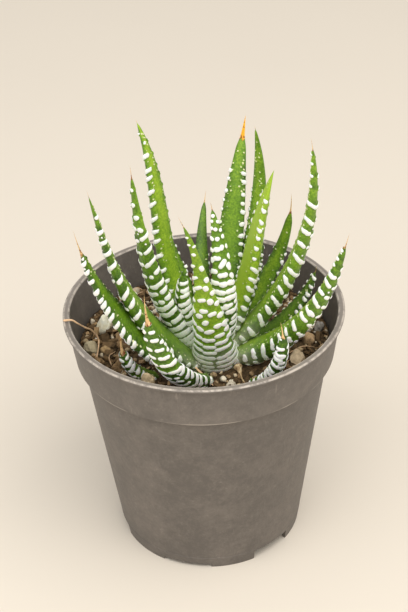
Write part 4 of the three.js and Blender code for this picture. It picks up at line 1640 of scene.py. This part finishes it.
def camera_axes(settings):
    """The camera's right, up and backward directions, as the columns of a matrix."""
    forward = Vector((0, math.cos(settings.camera_elevation), -math.sin(settings.camera_elevation)))
    right = Vector((1, 0, 0))
    up = right.cross(forward)
    c, s = math.cos(settings.camera_roll), math.sin(settings.camera_roll)
    return Matrix((c * right + s * up, c * up - s * right, -forward)).transposed()


def add_camera(settings):
    axes = camera_axes(settings)
    place = Vector(settings.target) + axes.col[2] * settings.camera_distance
    bpy.ops.object.camera_add(location=place, rotation=axes.to_euler())
    camera = added("camera")
    camera.data.lens = settings.lens
    camera.data.sensor_width = SENSOR_WIDTH
    camera.data.clip_start = NEAREST_SEEN
    bpy.context.scene.camera = camera


def add_soft_light(name, place, power, colour):
    """A square light that faces the plant."""
    bpy.ops.object.light_add(type="AREA", location=place)
    light = added(name)
    light.rotation_euler = (Vector(LIT_POINT) - Vector(place)).to_track_quat("-Z", "Y").to_euler()
    light.data.size = LIGHT_SIZE
    light.data.energy = power
    light.data.color = colour


class HAWORTHIA_OT_stage(bpy.types.Operator):
    """Set up the floor, the light and the camera"""

    bl_idname = "haworthia.stage"
    bl_label = "Stage"

    def execute(self, context):
        settings = context.scene.haworthia_stage
        pick_none()
        bpy.ops.mesh.primitive_plane_add(size=FLOOR_SIZE)
        floor = added("floor")
        floor.data.materials.append(floor_finish(settings))
        add_camera(settings)
        add_soft_light("key_light", KEY_PLACE, settings.key, KEY_COLOUR)
        add_soft_light("fill_light", FILL_PLACE, settings.fill, FILL_COLOUR)
        world = bpy.data.worlds.new("studio")
        world.use_nodes = True
        background = world.node_tree.nodes["Background"]
        background.inputs["Color"].default_value = SKY_COLOUR
        background.inputs["Strength"].default_value = settings.sky
        context.scene.world = world
        context.scene.view_settings.view_transform = "Standard"
        return {"FINISHED"}


class HAWORTHIA_PT_pieces(bpy.types.Panel):
    """Lists the pieces and their settings"""

    bl_label = "Potted haworthia"
    bl_idname = "HAWORTHIA_PT_pieces"
    bl_space_type = "VIEW_3D"
    bl_region_type = "UI"
    bl_category = "Haworthia"

    def draw(self, context):
        for title, group, operators in PANEL_ROWS:
            box = self.layout.box()
            box.label(text=title)
            settings = getattr(context.scene, group)
            for name in settings.__annotations__:
                box.prop(settings, name)
            for operator in operators:
                box.operator(operator.bl_idname)


GROUPS = {
    "haworthia_pot": PotSettings,
    "haworthia_leaf": LeafSettings,
    "haworthia_mix": MixSettings,
    "haworthia_stage": StageSettings,
}
OPERATORS = (
    HAWORTHIA_OT_stage,
    HAWORTHIA_OT_pot,
    HAWORTHIA_OT_mix,
    HAWORTHIA_OT_stones,
    HAWORTHIA_OT_stem,
    HAWORTHIA_OT_leaves,
    HAWORTHIA_OT_rootlet,
    HAWORTHIA_OT_stub,
)
PANEL_ROWS = (
    ("Pot", "haworthia_pot", (HAWORTHIA_OT_pot,)),
    ("Potting mix", "haworthia_mix", (HAWORTHIA_OT_mix, HAWORTHIA_OT_stones, HAWORTHIA_OT_rootlet)),
    ("Plant", "haworthia_leaf", (HAWORTHIA_OT_stem, HAWORTHIA_OT_leaves, HAWORTHIA_OT_stub)),
    ("Stage", "haworthia_stage", (HAWORTHIA_OT_stage,)),
)


def register():
    for group in GROUPS.values():
        bpy.utils.register_class(group)
    for name, group in GROUPS.items():
        setattr(bpy.types.Scene, name, bpy.props.PointerProperty(type=group))
    for operator in OPERATORS:
        bpy.utils.register_class(operator)
    bpy.utils.register_class(HAWORTHIA_PT_pieces)


def unregister():
    bpy.utils.unregister_class(HAWORTHIA_PT_pieces)
    for operator in reversed(OPERATORS):
        bpy.utils.unregister_class(operator)
    for name, group in GROUPS.items():
        delattr(bpy.types.Scene, name)
        bpy.utils.unregister_class(group)


def main():
    register()
    bpy.ops.haworthia.stage()
    bpy.ops.haworthia.pot()
    bpy.ops.haworthia.mix()
    bpy.ops.haworthia.stones()
    bpy.ops.haworthia.stem()
    bpy.ops.haworthia.leaves()
    bpy.ops.haworthia.rootlet()
    bpy.ops.haworthia.stub()


if __name__ == "__main__":
    main()
